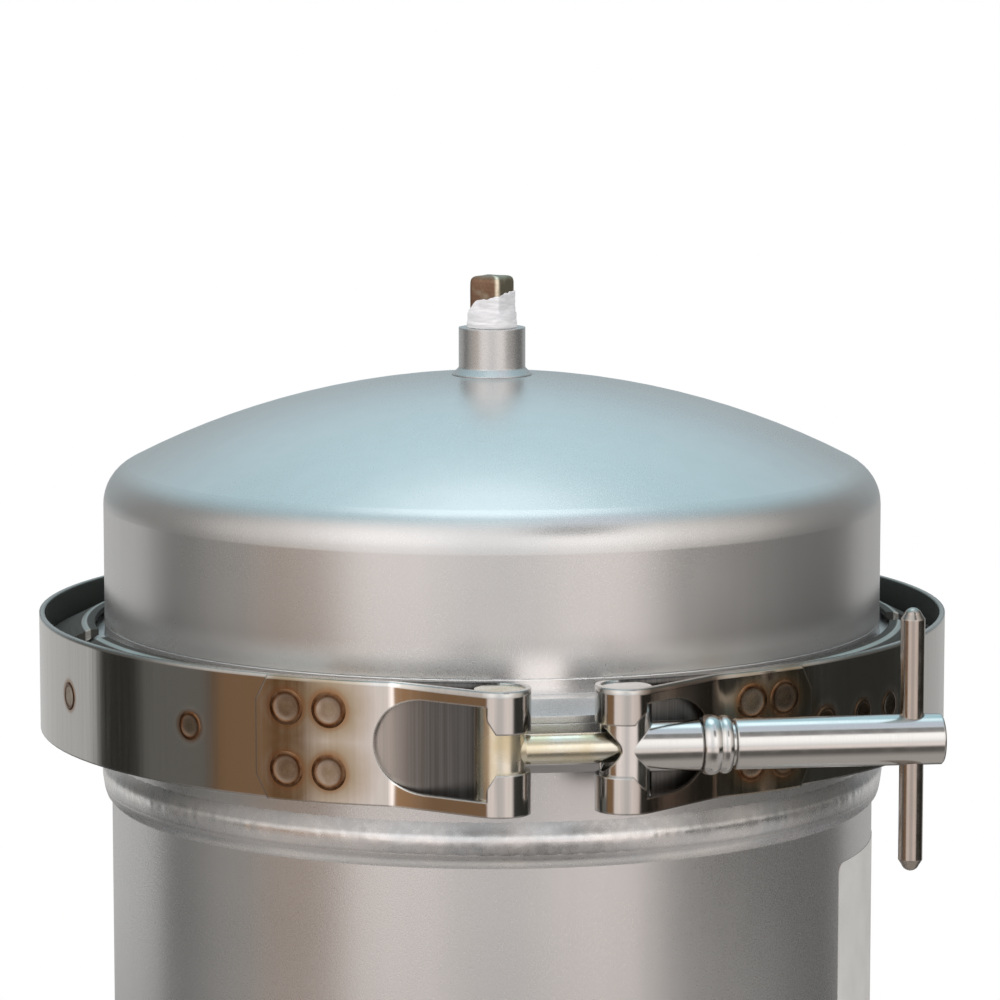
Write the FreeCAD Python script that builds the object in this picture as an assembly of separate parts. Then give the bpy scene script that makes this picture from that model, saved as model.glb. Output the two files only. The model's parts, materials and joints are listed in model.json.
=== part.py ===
import FreeCAD, Part
import math
import os
from collections import namedtuple

# Multi-cartridge filter housing: a stainless vessel on three legs, with a domed
# head held on by a V-band clamp, and seven cartridges on a tube sheet inside.
# Millimetres. The origin is on the vessel's axis at the floor, +Z is up, -Y is the front.

V = FreeCAD.Vector

# Levels above the floor
CLAMP_Z = 480.0
TUBE_SHEET_Z = 200.0
SHELL_BOTTOM_Z = 130.0
BOTTOM_TANGENT_Z = 110.0
INLET_Z = 245.0
OUTLET_Z = 165.0
SIDE_DRAIN_Z = 223.0
LEG_TOP_Z = 200.0

# Vessel shell and its two dished heads
SHELL_OD = 219.1
SHELL_WALL = 2.8
HEAD_STEP = 1.65
HEAD_WALL = 2.8
CROWN_RADIUS = 228.0
KNUCKLE_RADIUS = 12.4
HEAD_TANGENT_RISE = 47.2
HEAD_SKIRT_RISE = 14.0

# Flanges that the clamp pulls together
FLANGE_STAND_OUT = 13.3
FLANGE_BEVEL_WIDTH = 7.0
BEVEL_ANGLE = 26.0
JOINT_RISE = 4.5
HEAD_RIM_THICK = 2.0
SHELL_RIM_THICK = 11.0
NECK_DROP = 25.5
WELD_DROP = 37.0
WELD_PROUD = 0.7
WELD_LOW_BULGE = 1.0
O_RING_INSET = 9.5
O_RING_WIDTH = 5.0
O_RING_HEIGHT = 4.2
O_RING_CORNER = 1.2
O_RING_SIDE_GAP = 0.4

# Clamp strap, its folded loops and its windows
CLAMP_TURN = 7.9
STRAP_THICK = 1.5
STRAP_WIDTH = 33.0
STRAP_LEAVE_ANGLE = 8.0
TAB_SLOPE_ANGLE = 40.0
TAB_BEND_RADIUS = 12.0
TAB_GAP = 0.1
TAB_END_ANGLE = {1: 32.6, -1: 36.1}
WINDOW_END_ANGLE = {1: 17.9, -1: 21.4}
TAB_CLIP_ALONG = 3.5
TAB_CLIP_UP = 6.6
WINDOW_HEIGHT = 24.8
SLOT_TAPER_LENGTH = 4.5
CUT_OVER = 1.0

# V retainers inside the strap
RETAINER_WALL = 2.7
RETAINER_NECK_GAP = 2.8
RETAINER_RIM_GAP = 1.05
RETAINER_LIP_HEIGHT = 1.6
RETAINER_STRAP_GAP = 0.05
RETAINER_BEVEL_GAP = 0.3
RETAINER_FRONT_GAP_ANGLE = 8.0
RETAINER_SIDE_GAP_ANGLE = 81.5
RETAINER_GAP_HALF_ANGLE = 3.5

# Clamp hardware, along the bolt's axis from the middle of the opening
TRUNNION_OFFSET = 16.6
TRUNNION_RADIUS = 6.65
TRUNNION_GAP = 0.05
TRUNNION_SETBACK = 0.4
BOLT_RADIUS = 3.97
BOLT_NECK_RADIUS = 5.0
BOLT_NECK_LENGTH = 3.0
BOLT_SLOT_GAP = 0.25
BOLT_END = 82.0
BOLT_CHAMFER = 1.0
BOLT_RUNNING_GAP = 0.05
SLEEVE_RADIUS = 6.6
SLEEVE_BORE_RADIUS = 4.6
SLEEVE_MOUTH_RADIUS = 6.2
SLEEVE_MOUTH_FROM_AXIS = 2.0
SLEEVE_END = 36.3
SLEEVE_CHAMFER = 0.5
FACE_GAP = 0.05
COLLAR_RADIUS = 7.95
COLLAR_LENGTH = 7.6
COLLAR_GROOVE_AT = 4.6
COLLAR_GROOVE_DEPTH = 0.8
COLLAR_BEAD_STEP = 0.3
COLLAR_BACK_STEP = 0.2
BARREL_RADIUS = 6.7
BARREL_NECK_RADIUS = 5.7
BARREL_NECK_LENGTH = 0.9
BARREL_LENGTH = 56.4
BARREL_BORE_SPARE = 4.5
BARREL_CHAMFER = 0.4
BAR_RADIUS = 3.2
BAR_LENGTH = 70.0
BAR_FROM_BARREL_END = 8.0
BAR_TAPER = 3.0
BAR_DOME_RADIUS = 2.3
BAR_DOME_HEIGHT = 1.6
BAR_FIT_GAP = 0.03

# Small threaded ports with square-head plugs: a half coupling's outside radius and
# length, the thread's radius at the mouth, how far it is entered and how much shows,
# and the square head's width and height
Port = namedtuple("Port", "radius length thread_radius engaged exposed square head_height")
VENT_PORT = Port(9.53, 17.5, 6.62, 8.0, 4.2, 9.5, 10.6)
DRAIN_PORT = Port(14.3, 22.0, 10.3, 11.0, 4.5, 14.3, 12.0)
VENT_STAND_OUT = 13.23
DRAIN_STAND_OUT = 15.0
THREAD_TAPER = 1.0 / 32.0
TAPE_THICK = 0.25
THREAD_GAP = 0.03
PLUG_CORNER_DROP = 1.2
PLUG_CROWN_OVER = 0.3
PORT_WELD = 2.0
PORT_HOLE_GAP = 0.05
WELD_TOE_GAP = 0.01

# Inlet and outlet: threaded nozzles welded into the shell's sides
NOZZLE_RADIUS = 28.5
NOZZLE_BORE_RADIUS = 22.1
NOZZLE_THREAD_LENGTH = 25.0
NOZZLE_WAY_RADIUS = 20.4
NOZZLE_STAND_OUT = 36.0
NOZZLE_CHAMFER = 1.5
NOZZLE_WELD = 3.5

# Legs of angle bar on bolted foot pads
LEG_ANGLES = (60.0, 180.0, 300.0)
LEG_ARM = 42.0
LEG_THICK = 4.0
LEG_CORNER_STAND_OUT = 27.45
PAD_THICK = 6.0
PAD_WIDTH = 58.0
PAD_BEHIND_CORNER = 35.0
PAD_HOLE_RADIUS = 6.0
PAD_HOLE_FROM_CORNER = 17.0
PAD_BEYOND_HOLE = 16.0
PAD_CORNER_RADIUS = 8.0

# Tube sheet, guide posts, cartridges and their caps
CARTRIDGE_RING_COUNT = 6
CARTRIDGE_RING_START = 30.0
CARTRIDGE_GAP = 7.0
CARTRIDGE_WALL_GAP = 5.25
CARTRIDGE_BORE_RADIUS = 14.0
CARTRIDGE_LENGTH = 254.0
TUBE_SHEET_THICK = 6.0
TUBE_SHEET_GAP = 0.1
SHEET_HOLE_RADIUS = 13.0
SEAT_RADIUS = 20.0
SEAT_HEIGHT = 1.5
SEAT_HALF_WIDTH = 1.2
POST_RADIUS = 4.76
POST_ARM_WIDTH = 4.0
POST_ARM_GAP = 0.05
POST_TIP = 6.0
CAP_RADIUS = 24.0
CAP_PLATE = 3.0
CAP_HUB_RADIUS = 9.0
CAP_HUB_RISE = 6.0
CAP_HUB_FLARE = 2.0
CAP_FIT_GAP = 0.15
NUT_ACROSS_FLATS = 14.3
NUT_HEIGHT = 8.0
THREAD_FIT_GAP = 0.05

# Worked out from the sizes above
SHELL_R = SHELL_OD / 2
SHELL_INNER_R = SHELL_R - SHELL_WALL
HEAD_R = SHELL_R + HEAD_STEP
FLANGE_RADIUS = HEAD_R + FLANGE_STAND_OUT
O_RING_RADIUS = FLANGE_RADIUS - O_RING_INSET
BEVEL_SLOPE = math.tan(math.radians(BEVEL_ANGLE))
RETAINER_LIP_RADIUS = HEAD_R + RETAINER_NECK_GAP
RETAINER_OUTER_R = FLANGE_RADIUS + RETAINER_RIM_GAP + RETAINER_WALL
STRAP_INNER_R = RETAINER_OUTER_R + RETAINER_STRAP_GAP
STRAP_RADIUS = STRAP_INNER_R + STRAP_THICK
LOOP_INNER_R = TRUNNION_RADIUS + TRUNNION_GAP
SLOT_HALF_HEIGHT = {1: SLEEVE_RADIUS + BOLT_SLOT_GAP, -1: BOLT_NECK_RADIUS + BOLT_SLOT_GAP}
LEG_CORNER_RADIUS = SHELL_R + LEG_CORNER_STAND_OUT
PAD_INNER_RADIUS = LEG_CORNER_RADIUS - PAD_BEHIND_CORNER
PAD_HOLE_CIRCLE_RADIUS = LEG_CORNER_RADIUS + PAD_HOLE_FROM_CORNER
PAD_LENGTH = PAD_HOLE_CIRCLE_RADIUS + PAD_BEYOND_HOLE - PAD_INNER_RADIUS
CARTRIDGE_RADIUS = (SHELL_INNER_R - CARTRIDGE_WALL_GAP - CARTRIDGE_GAP) / 3
CARTRIDGE_RING_RADIUS = 2 * CARTRIDGE_RADIUS + CARTRIDGE_GAP
SHEET_TOP_Z = TUBE_SHEET_Z + TUBE_SHEET_THICK
CARTRIDGE_Z = SHEET_TOP_Z + SEAT_HEIGHT
CAP_Z = CARTRIDGE_Z + CARTRIDGE_LENGTH
NUT_Z = CAP_Z + CAP_PLATE + CAP_HUB_RISE


def outline(start, steps):
    """Closed face in the XZ plane: a step is a point, or a (through, end) pair for an arc."""
    edges = []
    here = V(start[0], 0, start[1])
    for step in list(steps) + [start]:
        if isinstance(step[0], tuple):
            through, end = (V(p[0], 0, p[1]) for p in step)
            edges.append(Part.Arc(here, through, end).toShape())
            here = end
        else:
            end = V(step[0], 0, step[1])
            if here.distanceToPoint(end) > 1e-7:
                edges.append(Part.LineSegment(here, end).toShape())
            here = end
    return Part.Face(Part.Wire(edges))


def turned(start, *steps):
    """Solid of revolution about Z from an outline of (radius, height) points."""
    return outline(start, steps).revolve(V(0, 0, 0), V(0, 0, 1), 360)


def along(shape, base, direction):
    """Place a shape that was made along +Z so that it runs from base in a direction."""
    placed = shape.copy()
    placed.Placement = FreeCAD.Placement(base, FreeCAD.Rotation(V(0, 0, 1), direction))
    return placed


def polar(radius, angle):
    """Point in plan at an angle from the front, positive to the right."""
    a = math.radians(angle)
    return V(radius * math.sin(a), -radius * math.cos(a), 0)


def spun(shape, angle):
    """Copy of a shape turned about the vessel's axis."""
    return shape.rotated(V(0, 0, 0), V(0, 0, 1), angle)


def clamp_placed(shape):
    """Bring a clamp piece, made round its own centre, to its level and turn it."""
    return spun(shape, CLAMP_TURN).translated(V(0, 0, CLAMP_Z))


def on_circle(centre, radius, angle):
    """Outline point at an angle from the outline's own vertical, towards larger radii."""
    a = math.radians(angle)
    return (centre[0] + radius * math.sin(a), centre[1] + radius * math.cos(a))


class Dish:
    """Torispherical head above its tangent line at height 0."""

    def __init__(self, outer_radius, wall):
        self.outer_radius = outer_radius
        self.wall = wall
        self.knuckle_centre = (outer_radius - KNUCKLE_RADIUS, 0.0)
        reach = CROWN_RADIUS - KNUCKLE_RADIUS
        self.crown_centre_z = -math.sqrt(reach ** 2 - self.knuckle_centre[0] ** 2)
        self.blend_angle = math.degrees(math.asin(self.knuckle_centre[0] / reach))

    def crown_height(self, radius, offset=0.0):
        """Height of the crown at a distance from the axis, offset inwards."""
        return self.crown_centre_z + math.sqrt((CROWN_RADIUS - offset) ** 2 - radius ** 2)

    def skin(self, offset, hole_radius):
        """Arc steps from the tangent line up to the hole, for a skin offset inwards."""
        knuckle = KNUCKLE_RADIUS - offset
        crown = CROWN_RADIUS - offset
        centre = (0.0, self.crown_centre_z)
        hole_angle = math.degrees(math.asin(hole_radius / crown))
        middle = (self.blend_angle + 90.0) / 2
        knuckle_arc = (on_circle(self.knuckle_centre, knuckle, middle),
                       on_circle(self.knuckle_centre, knuckle, self.blend_angle))
        crown_arc = (on_circle(centre, crown, (self.blend_angle + hole_angle) / 2),
                     on_circle(centre, crown, hole_angle))
        return knuckle_arc, crown_arc

    def solid(self, skirt, hole_radius):
        """The pressed head with its straight skirt and the hole at its centre."""
        inner_radius = self.outer_radius - self.wall
        outer_knuckle, outer_crown = self.skin(0.0, hole_radius)
        inner_knuckle, inner_crown = self.skin(self.wall, hole_radius)
        inner_back = ((on_circle((0.0, self.crown_centre_z), CROWN_RADIUS - self.wall,
                                 self.blend_angle / 2)), inner_knuckle[1])
        return turned((self.outer_radius, -skirt), (self.outer_radius, 0.0),
                      outer_knuckle, outer_crown, inner_crown[1], inner_back,
                      (inner_knuckle[0], (inner_radius, 0.0)), (inner_radius, -skirt))


HEAD_DISH = Dish(HEAD_R, HEAD_WALL)
BOTTOM_DISH = Dish(SHELL_R, SHELL_WALL)


def head_dome():
    """Domed top of the head, down to its weld with the head's flange."""
    dome = HEAD_DISH.solid(HEAD_TANGENT_RISE - HEAD_SKIRT_RISE, VENT_PORT.radius + PORT_HOLE_GAP)
    return dome.translated(V(0, 0, CLAMP_Z + HEAD_TANGENT_RISE))


def bottom_head():
    """Dished bottom of the vessel, with a hole for the bottom drain."""
    skirt = SHELL_BOTTOM_Z - BOTTOM_TANGENT_Z
    dish = BOTTOM_DISH.solid(skirt, DRAIN_PORT.radius + PORT_HOLE_GAP)
    dish = dish.rotated(V(0, 0, 0), V(1, 0, 0), 180)
    return dish.translated(V(0, 0, BOTTOM_TANGENT_Z))


def flange_root(rim_z, neck_radius, sign):
    """Steps from the rim's corner along the bevel and the flat behind it to the neck."""
    bevel_z = rim_z + sign * FLANGE_BEVEL_WIDTH * BEVEL_SLOPE
    return [(FLANGE_RADIUS - FLANGE_BEVEL_WIDTH, bevel_z), (neck_radius, bevel_z)]


def head_flange():
    """Head's flange: a thin bevelled rim with a short neck to the dome."""
    rim_z = JOINT_RISE + HEAD_RIM_THICK
    ring = turned((SHELL_INNER_R, JOINT_RISE), (FLANGE_RADIUS, JOINT_RISE), (FLANGE_RADIUS, rim_z),
                  *flange_root(rim_z, HEAD_R, 1),
                  (HEAD_R, HEAD_SKIRT_RISE), (HEAD_R - HEAD_WALL, HEAD_SKIRT_RISE),
                  (SHELL_INNER_R, HEAD_SKIRT_RISE - (HEAD_R - HEAD_WALL - SHELL_INNER_R)))
    return ring.translated(V(0, 0, CLAMP_Z))


def shell_flange():
    """Shell's flange with its seal groove, its neck, and the girth weld under the neck."""
    rim_z = JOINT_RISE - SHELL_RIM_THICK
    groove = O_RING_WIDTH / 2 + O_RING_SIDE_GAP
    floor_z = JOINT_RISE - O_RING_HEIGHT
    weld_r = HEAD_R + WELD_PROUD
    weld_mid = (NECK_DROP + WELD_DROP) / 2
    ring = turned((FLANGE_RADIUS, rim_z), *flange_root(rim_z, HEAD_R, -1),
                  (HEAD_R, -NECK_DROP),
                  ((weld_r, -(NECK_DROP + weld_mid) / 2), (HEAD_R + WELD_PROUD / 2, -weld_mid)),
                  ((HEAD_R, -(WELD_DROP + weld_mid) / 2 - WELD_LOW_BULGE), (SHELL_R, -WELD_DROP)),
                  (SHELL_R, -NECK_DROP - SHELL_WALL), (SHELL_INNER_R, -NECK_DROP - SHELL_WALL),
                  (SHELL_INNER_R, JOINT_RISE), (O_RING_RADIUS - groove, JOINT_RISE),
                  (O_RING_RADIUS - groove, floor_z), (O_RING_RADIUS + groove, floor_z),
                  (O_RING_RADIUS + groove, JOINT_RISE), (FLANGE_RADIUS, JOINT_RISE))
    return ring.translated(V(0, 0, CLAMP_Z))


def closure_o_ring():
    """Seal squeezed between the groove's floor and the head's flange."""
    inner = O_RING_RADIUS - O_RING_WIDTH / 2
    outer = O_RING_RADIUS + O_RING_WIDTH / 2
    low = JOINT_RISE - O_RING_HEIGHT
    corner = O_RING_CORNER
    ring = turned((inner + corner, low), (outer - corner, low), (outer, low + corner),
                  (outer, JOINT_RISE - corner), (outer - corner, JOINT_RISE),
                  (inner + corner, JOINT_RISE), (inner, JOINT_RISE - corner), (inner, low + corner))
    return ring.translated(V(0, 0, CLAMP_Z))


def radial_cylinder(radius, length):
    """Cylinder from the vessel's axis towards the right."""
    return Part.makeCylinder(radius, length, V(0, 0, 0), V(1, 0, 0))


def shell_body():
    """Rolled shell from the bottom head up to the flange's neck, with its port holes."""
    top = CLAMP_Z - NECK_DROP - SHELL_WALL
    height = top - SHELL_BOTTOM_Z
    base = V(0, 0, SHELL_BOTTOM_Z)
    shell = Part.makeCylinder(SHELL_R, height, base).cut(Part.makeCylinder(SHELL_INNER_R, height, base))
    nozzle_hole = radial_cylinder(NOZZLE_RADIUS + PORT_HOLE_GAP, SHELL_OD)
    drain_hole = radial_cylinder(DRAIN_PORT.radius + PORT_HOLE_GAP, SHELL_OD)
    shell = shell.cut(spun(nozzle_hole, 180).translated(V(0, 0, INLET_Z)))
    shell = shell.cut(nozzle_hole.translated(V(0, 0, OUTLET_Z)))
    return shell.cut(spun(drain_hole, 270).translated(V(0, 0, SIDE_DRAIN_Z)))


def shell_port(radius, stand_out, weld, bore, angle, z):
    """Half coupling through the shell's side with its saddle weld, bored by a given solid."""
    tall = 4 * radius
    inside = Part.makeCylinder(SHELL_INNER_R, tall, V(0, 0, -tall / 2))
    outside = Part.makeCylinder(SHELL_R, tall, V(0, 0, -tall / 2))
    body = radial_cylinder(radius, SHELL_R + stand_out).cut(inside)
    saddle_x = math.sqrt(SHELL_R ** 2 - radius ** 2)
    drop = SHELL_R - saddle_x
    bead = Part.makeCone(radius + weld + drop, radius, drop + weld + drop, V(saddle_x - drop, 0, 0),
                         V(1, 0, 0)).cut(outside)
    return spun(body.fuse(bead).cut(bore).removeSplitter(), angle).translated(V(0, 0, z))


def nozzle(angle, z):
    """Inlet or outlet: a thread bore with a chamfered mouth, and a narrower way through."""
    mouth = SHELL_R + NOZZLE_STAND_OUT
    thread = Part.makeCylinder(NOZZLE_BORE_RADIUS, NOZZLE_THREAD_LENGTH,
                               V(mouth - NOZZLE_THREAD_LENGTH, 0, 0), V(1, 0, 0))
    bore = radial_cylinder(NOZZLE_WAY_RADIUS, mouth).fuse(thread)
    chamfer = Part.makeCone(NOZZLE_BORE_RADIUS, NOZZLE_BORE_RADIUS + NOZZLE_CHAMFER, NOZZLE_CHAMFER,
                            V(mouth - NOZZLE_CHAMFER, 0, 0), V(1, 0, 0))
    return shell_port(NOZZLE_RADIUS, NOZZLE_STAND_OUT, NOZZLE_WELD, bore.fuse(chamfer), angle, z)


def thread_cone(port, clearance, low, high):
    """Tapered thread envelope about the mouth plane at height 0, with a radial clearance."""
    base = port.thread_radius + clearance
    return Part.makeCone(base + low * THREAD_TAPER, base + high * THREAD_TAPER, high - low,
                         V(0, 0, low))


def plug(port):
    """Square-head plug: tapered thread below a chamfered square, about its mouth plane."""
    shank = thread_cone(port, 0.0, -port.engaged, port.exposed)
    half = port.square / 2
    head = Part.makeBox(port.square, port.square, port.head_height, V(-half, -half, port.exposed))
    corner = half * math.sqrt(2) + PLUG_CROWN_OVER
    top = port.exposed + port.head_height
    crown = turned((0, port.exposed), (corner, port.exposed), (corner, top - PLUG_CORNER_DROP),
                   (half, top), (0, top))
    return shank.fuse(head.common(crown))


def plug_tape(port):
    """Sealing tape wound on the plug's thread."""
    outer = thread_cone(port, THREAD_GAP + TAPE_THICK, -port.engaged, port.exposed)
    return outer.cut(thread_cone(port, THREAD_GAP, -port.engaged, port.exposed))


def port_bore(port, through):
    """Tapered thread hole below the mouth plane, and the way through beneath it."""
    clearance = THREAD_GAP + TAPE_THICK + THREAD_GAP
    thread = thread_cone(port, clearance, -port.engaged, 0.0)
    way = port.thread_radius + clearance - port.engaged * THREAD_TAPER
    return thread.fuse(Part.makeCylinder(way, through, V(0, 0, -port.engaged - through)))


def dish_port(port, dish, mouth_rise):
    """Half coupling through the middle of a dished head, with a fillet weld round it."""
    base = mouth_rise - port.length
    weld_radius = port.radius + PORT_WELD
    foot = dish.crown_height(port.radius)
    body = turned((0, base), (port.radius, base), (port.radius, foot),
                  (weld_radius, dish.crown_height(weld_radius) + WELD_TOE_GAP),
                  (port.radius, foot + PORT_WELD), (port.radius, mouth_rise), (0, mouth_rise))
    bore = port_bore(port, port.length).translated(V(0, 0, mouth_rise))
    return body.cut(bore)


VENT_MOUTH = HEAD_DISH.crown_height(0) + VENT_STAND_OUT
VENT_BASE = V(0, 0, CLAMP_Z + HEAD_TANGENT_RISE + VENT_MOUTH)
BOTTOM_MOUTH = BOTTOM_DISH.crown_height(0) + DRAIN_STAND_OUT
BOTTOM_BASE = V(0, 0, BOTTOM_TANGENT_Z - BOTTOM_MOUTH)
SIDE_BASE = V(0, -(SHELL_R + DRAIN_STAND_OUT), SIDE_DRAIN_Z)


def vent_coupling():
    """Vent coupling on top of the dome."""
    coupling = dish_port(VENT_PORT, HEAD_DISH, VENT_MOUTH)
    return coupling.translated(V(0, 0, CLAMP_Z + HEAD_TANGENT_RISE))


def bottom_drain_coupling():
    """Drain coupling under the bottom head."""
    coupling = dish_port(DRAIN_PORT, BOTTOM_DISH, BOTTOM_MOUTH).rotated(V(0, 0, 0), V(1, 0, 0), 180)
    return coupling.translated(V(0, 0, BOTTOM_TANGENT_Z))


def side_drain_coupling():
    """Drain coupling through the shell's front, just above the tube sheet."""
    bore = along(port_bore(DRAIN_PORT, DRAIN_PORT.length), V(SHELL_R + DRAIN_STAND_OUT, 0, 0),
                 V(1, 0, 0))
    return shell_port(DRAIN_PORT.radius, DRAIN_STAND_OUT, PORT_WELD, bore, 270, SIDE_DRAIN_Z)


def leg():
    """Leg of angle bar with its corner outwards, cut to the shell it is welded to."""
    height = LEG_TOP_Z - PAD_THICK
    box = Part.makeBox(LEG_ARM, LEG_ARM, height)
    inside = Part.makeBox(LEG_ARM, LEG_ARM, height, V(LEG_THICK, LEG_THICK, 0))
    bar = box.cut(inside).rotated(V(0, 0, 0), V(0, 0, 1), 135)
    bar = bar.translated(V(LEG_CORNER_RADIUS, 0, PAD_THICK))
    return bar.cut(Part.makeCylinder(SHELL_R, LEG_TOP_Z))


def foot_pad():
    """Foot plate under a leg, with its bolt hole outside the leg's corner."""
    plate = Part.makeBox(PAD_LENGTH, PAD_WIDTH, PAD_THICK, V(PAD_INNER_RADIUS, -PAD_WIDTH / 2, 0))
    upright = [e for e in plate.Edges if abs(e.Vertexes[0].Z - e.Vertexes[-1].Z) > PAD_THICK / 2]
    plate = plate.makeFillet(PAD_CORNER_RADIUS, upright)
    return plate.cut(Part.makeCylinder(PAD_HOLE_RADIUS, PAD_THICK, V(PAD_HOLE_CIRCLE_RADIUS, 0, 0)))


def direction(angle):
    """Unit vector in plan at an angle from the front."""
    return polar(1.0, angle)


# The trunnions' distance in front of the vessel's axis, where the strap's inner layer,
# having left its circle along a tangent, still lies against the loop
LEAVE = math.radians(STRAP_LEAVE_ANGLE)
BOLT_Y = -((STRAP_RADIUS + LOOP_INNER_R - TRUNNION_OFFSET * math.sin(LEAVE)) / math.cos(LEAVE))
TRUNNION = V(TRUNNION_OFFSET, BOLT_Y, 0)
TAB_INNER_R = STRAP_RADIUS + TAB_GAP

# A tab comes down from its loop on a slope, and bends back on to the strap round a centre
# outside it, at the angle where the bend is tangent to both
BEND_CENTRE_R = TAB_INNER_R + STRAP_THICK + TAB_BEND_RADIUS
SLOPE_REACH = (polar(1.0, TAB_SLOPE_ANGLE).dot(TRUNNION) + LOOP_INNER_R + STRAP_THICK
               + TAB_BEND_RADIUS)
LAND_ANGLE = TAB_SLOPE_ANGLE - math.degrees(math.acos(SLOPE_REACH / BEND_CENTRE_R))


def strip_half(side, offset):
    """Edges of one end of the strap from its circle, round the loop to the tab's end.

    The offset is from the strip's middle towards the face that lies against the retainers.
    """
    loop = LOOP_INNER_R + STRAP_THICK / 2 + offset
    main = STRAP_INNER_R + STRAP_THICK / 2 - offset
    bend = TAB_BEND_RADIUS + STRAP_THICK / 2 - offset
    tab = TAB_INNER_R + STRAP_THICK / 2 + offset
    inner = direction(STRAP_LEAVE_ANGLE)
    outer = direction(TAB_SLOPE_ANGLE)
    opening = direction((STRAP_LEAVE_ANGLE + TAB_SLOPE_ANGLE) / 2 - 90.0)
    end_angle = TAB_END_ANGLE[side]
    bend_centre = polar(BEND_CENTRE_R, LAND_ANGLE)
    points = [inner * main, TRUNNION - inner * loop, TRUNNION + opening * loop,
              TRUNNION + outer * loop, bend_centre - outer * bend,
              bend_centre - direction((TAB_SLOPE_ANGLE + LAND_ANGLE) / 2) * bend,
              polar(tab, LAND_ANGLE), polar(tab, (LAND_ANGLE + end_angle) / 2),
              polar(tab, end_angle)]
    points = [V(side * p.x, p.y, 0) for p in points]
    return [Part.LineSegment(points[0], points[1]).toShape(),
            Part.Arc(points[1], points[2], points[3]).toShape(),
            Part.LineSegment(points[3], points[4]).toShape(),
            Part.Arc(points[4], points[5], points[6]).toShape(),
            Part.Arc(points[6], points[7], points[8]).toShape()], points


def strap_blank():
    """The strap bent to shape, before its windows and slots are cut."""
    edges = []
    ends = []
    for offset in (STRAP_THICK / 2, -STRAP_THICK / 2):
        right_edges, right = strip_half(1, offset)
        left_edges, left = strip_half(-1, offset)
        back = V(0, STRAP_INNER_R + STRAP_THICK / 2 - offset, 0)
        edges += right_edges + left_edges + [Part.Arc(right[0], back, left[0]).toShape()]
        ends.append((right[-1], left[-1]))
    for here, there in zip(ends[0], ends[1]):
        edges.append(Part.LineSegment(here, there).toShape())
    wire = Part.Wire(Part.__sortEdges__(edges))
    blank = Part.Face(wire).extrude(V(0, 0, STRAP_WIDTH))
    return blank.translated(V(0, 0, -STRAP_WIDTH / 2))


def tab_prism(profile, origin, run, out, depth):
    """Prism from (along, up) points on a plane: origin plus run, raised by depth along out."""
    points = [origin + run * s + V(0, 0, z) for s, z in profile]
    return Part.Face(Part.makePolygon(points + points[:1])).extrude(out * depth)


def window_cutters(side):
    """Cutters for one tab: its window, the taper into the bolt's slot, and the slot."""
    out = direction(TAB_SLOPE_ANGLE)
    run = V(-out.y, out.x, 0)
    half = WINDOW_HEIGHT / 2
    slot = SLOT_HALF_HEIGHT[side]
    loop_end = TRUNNION + out * LOOP_INNER_R
    window_end = polar(TAB_INNER_R + STRAP_THICK, WINDOW_END_ANGLE[side])
    front = V(0, TRUNNION.y - 2 * LOOP_INNER_R, 0)
    depth = -front.y
    profile = [(loop_end.x, -half), (window_end.x - half, -half), (window_end.x - half, half),
               (loop_end.x, half)]
    window = tab_prism(profile, front, V(1, 0, 0), V(0, 1, 0), depth)
    window = window.fuse(Part.makeCylinder(half, depth, front + V(window_end.x - half, 0, 0),
                                           V(0, 1, 0)))
    window = window.cut(Part.makeCylinder(STRAP_RADIUS + TAB_GAP / 2, STRAP_WIDTH,
                                          V(0, 0, -STRAP_WIDTH / 2)))
    depth = STRAP_THICK * 2
    taper_end = CUT_OVER - SLOT_TAPER_LENGTH
    taper = tab_prism([(CUT_OVER, -half), (CUT_OVER, half), (taper_end, slot), (taper_end, -slot)],
                      TRUNNION, run, out, LOOP_INNER_R + depth)
    reach = LOOP_INNER_R + STRAP_THICK + CUT_OVER
    bolt_slot = Part.makeBox(reach + TRUNNION_OFFSET, reach + BOLT_NECK_RADIUS + BOLT_SLOT_GAP,
                             2 * slot, V(0, TRUNNION.y - reach, -slot))
    tool = window.fuse(taper).fuse(bolt_slot)
    return tool if side > 0 else tool.mirror(V(0, 0, 0), V(1, 0, 0))


def clip_cutters(side):
    """Cutters for the two clipped corners at a tab's end."""
    angle = side * TAB_END_ANGLE[side]
    out = direction(angle)
    run = V(-out.y, out.x, 0) * side
    origin = out * (STRAP_RADIUS + TAB_GAP / 2)
    half = STRAP_WIDTH / 2
    cutters = []
    for up in (1, -1):
        corner = [(CUT_OVER, up * (half - TAB_CLIP_UP)), (0, up * (half - TAB_CLIP_UP)),
                  (-TAB_CLIP_ALONG, up * half), (-TAB_CLIP_ALONG, up * (half + CUT_OVER)),
                  (CUT_OVER, up * (half + CUT_OVER))]
        cutters.append(tab_prism(corner, origin, run, out, 2 * STRAP_THICK))
    return cutters


def clamp_band():
    """One strip: round the vessel, out round each trunnion, and back as a welded tab."""
    strap = strap_blank()
    for side in (1, -1):
        strap = strap.cut(window_cutters(side))
        for cutter in clip_cutters(side):
            strap = strap.cut(cutter)
    return clamp_placed(strap.removeSplitter())


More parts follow.
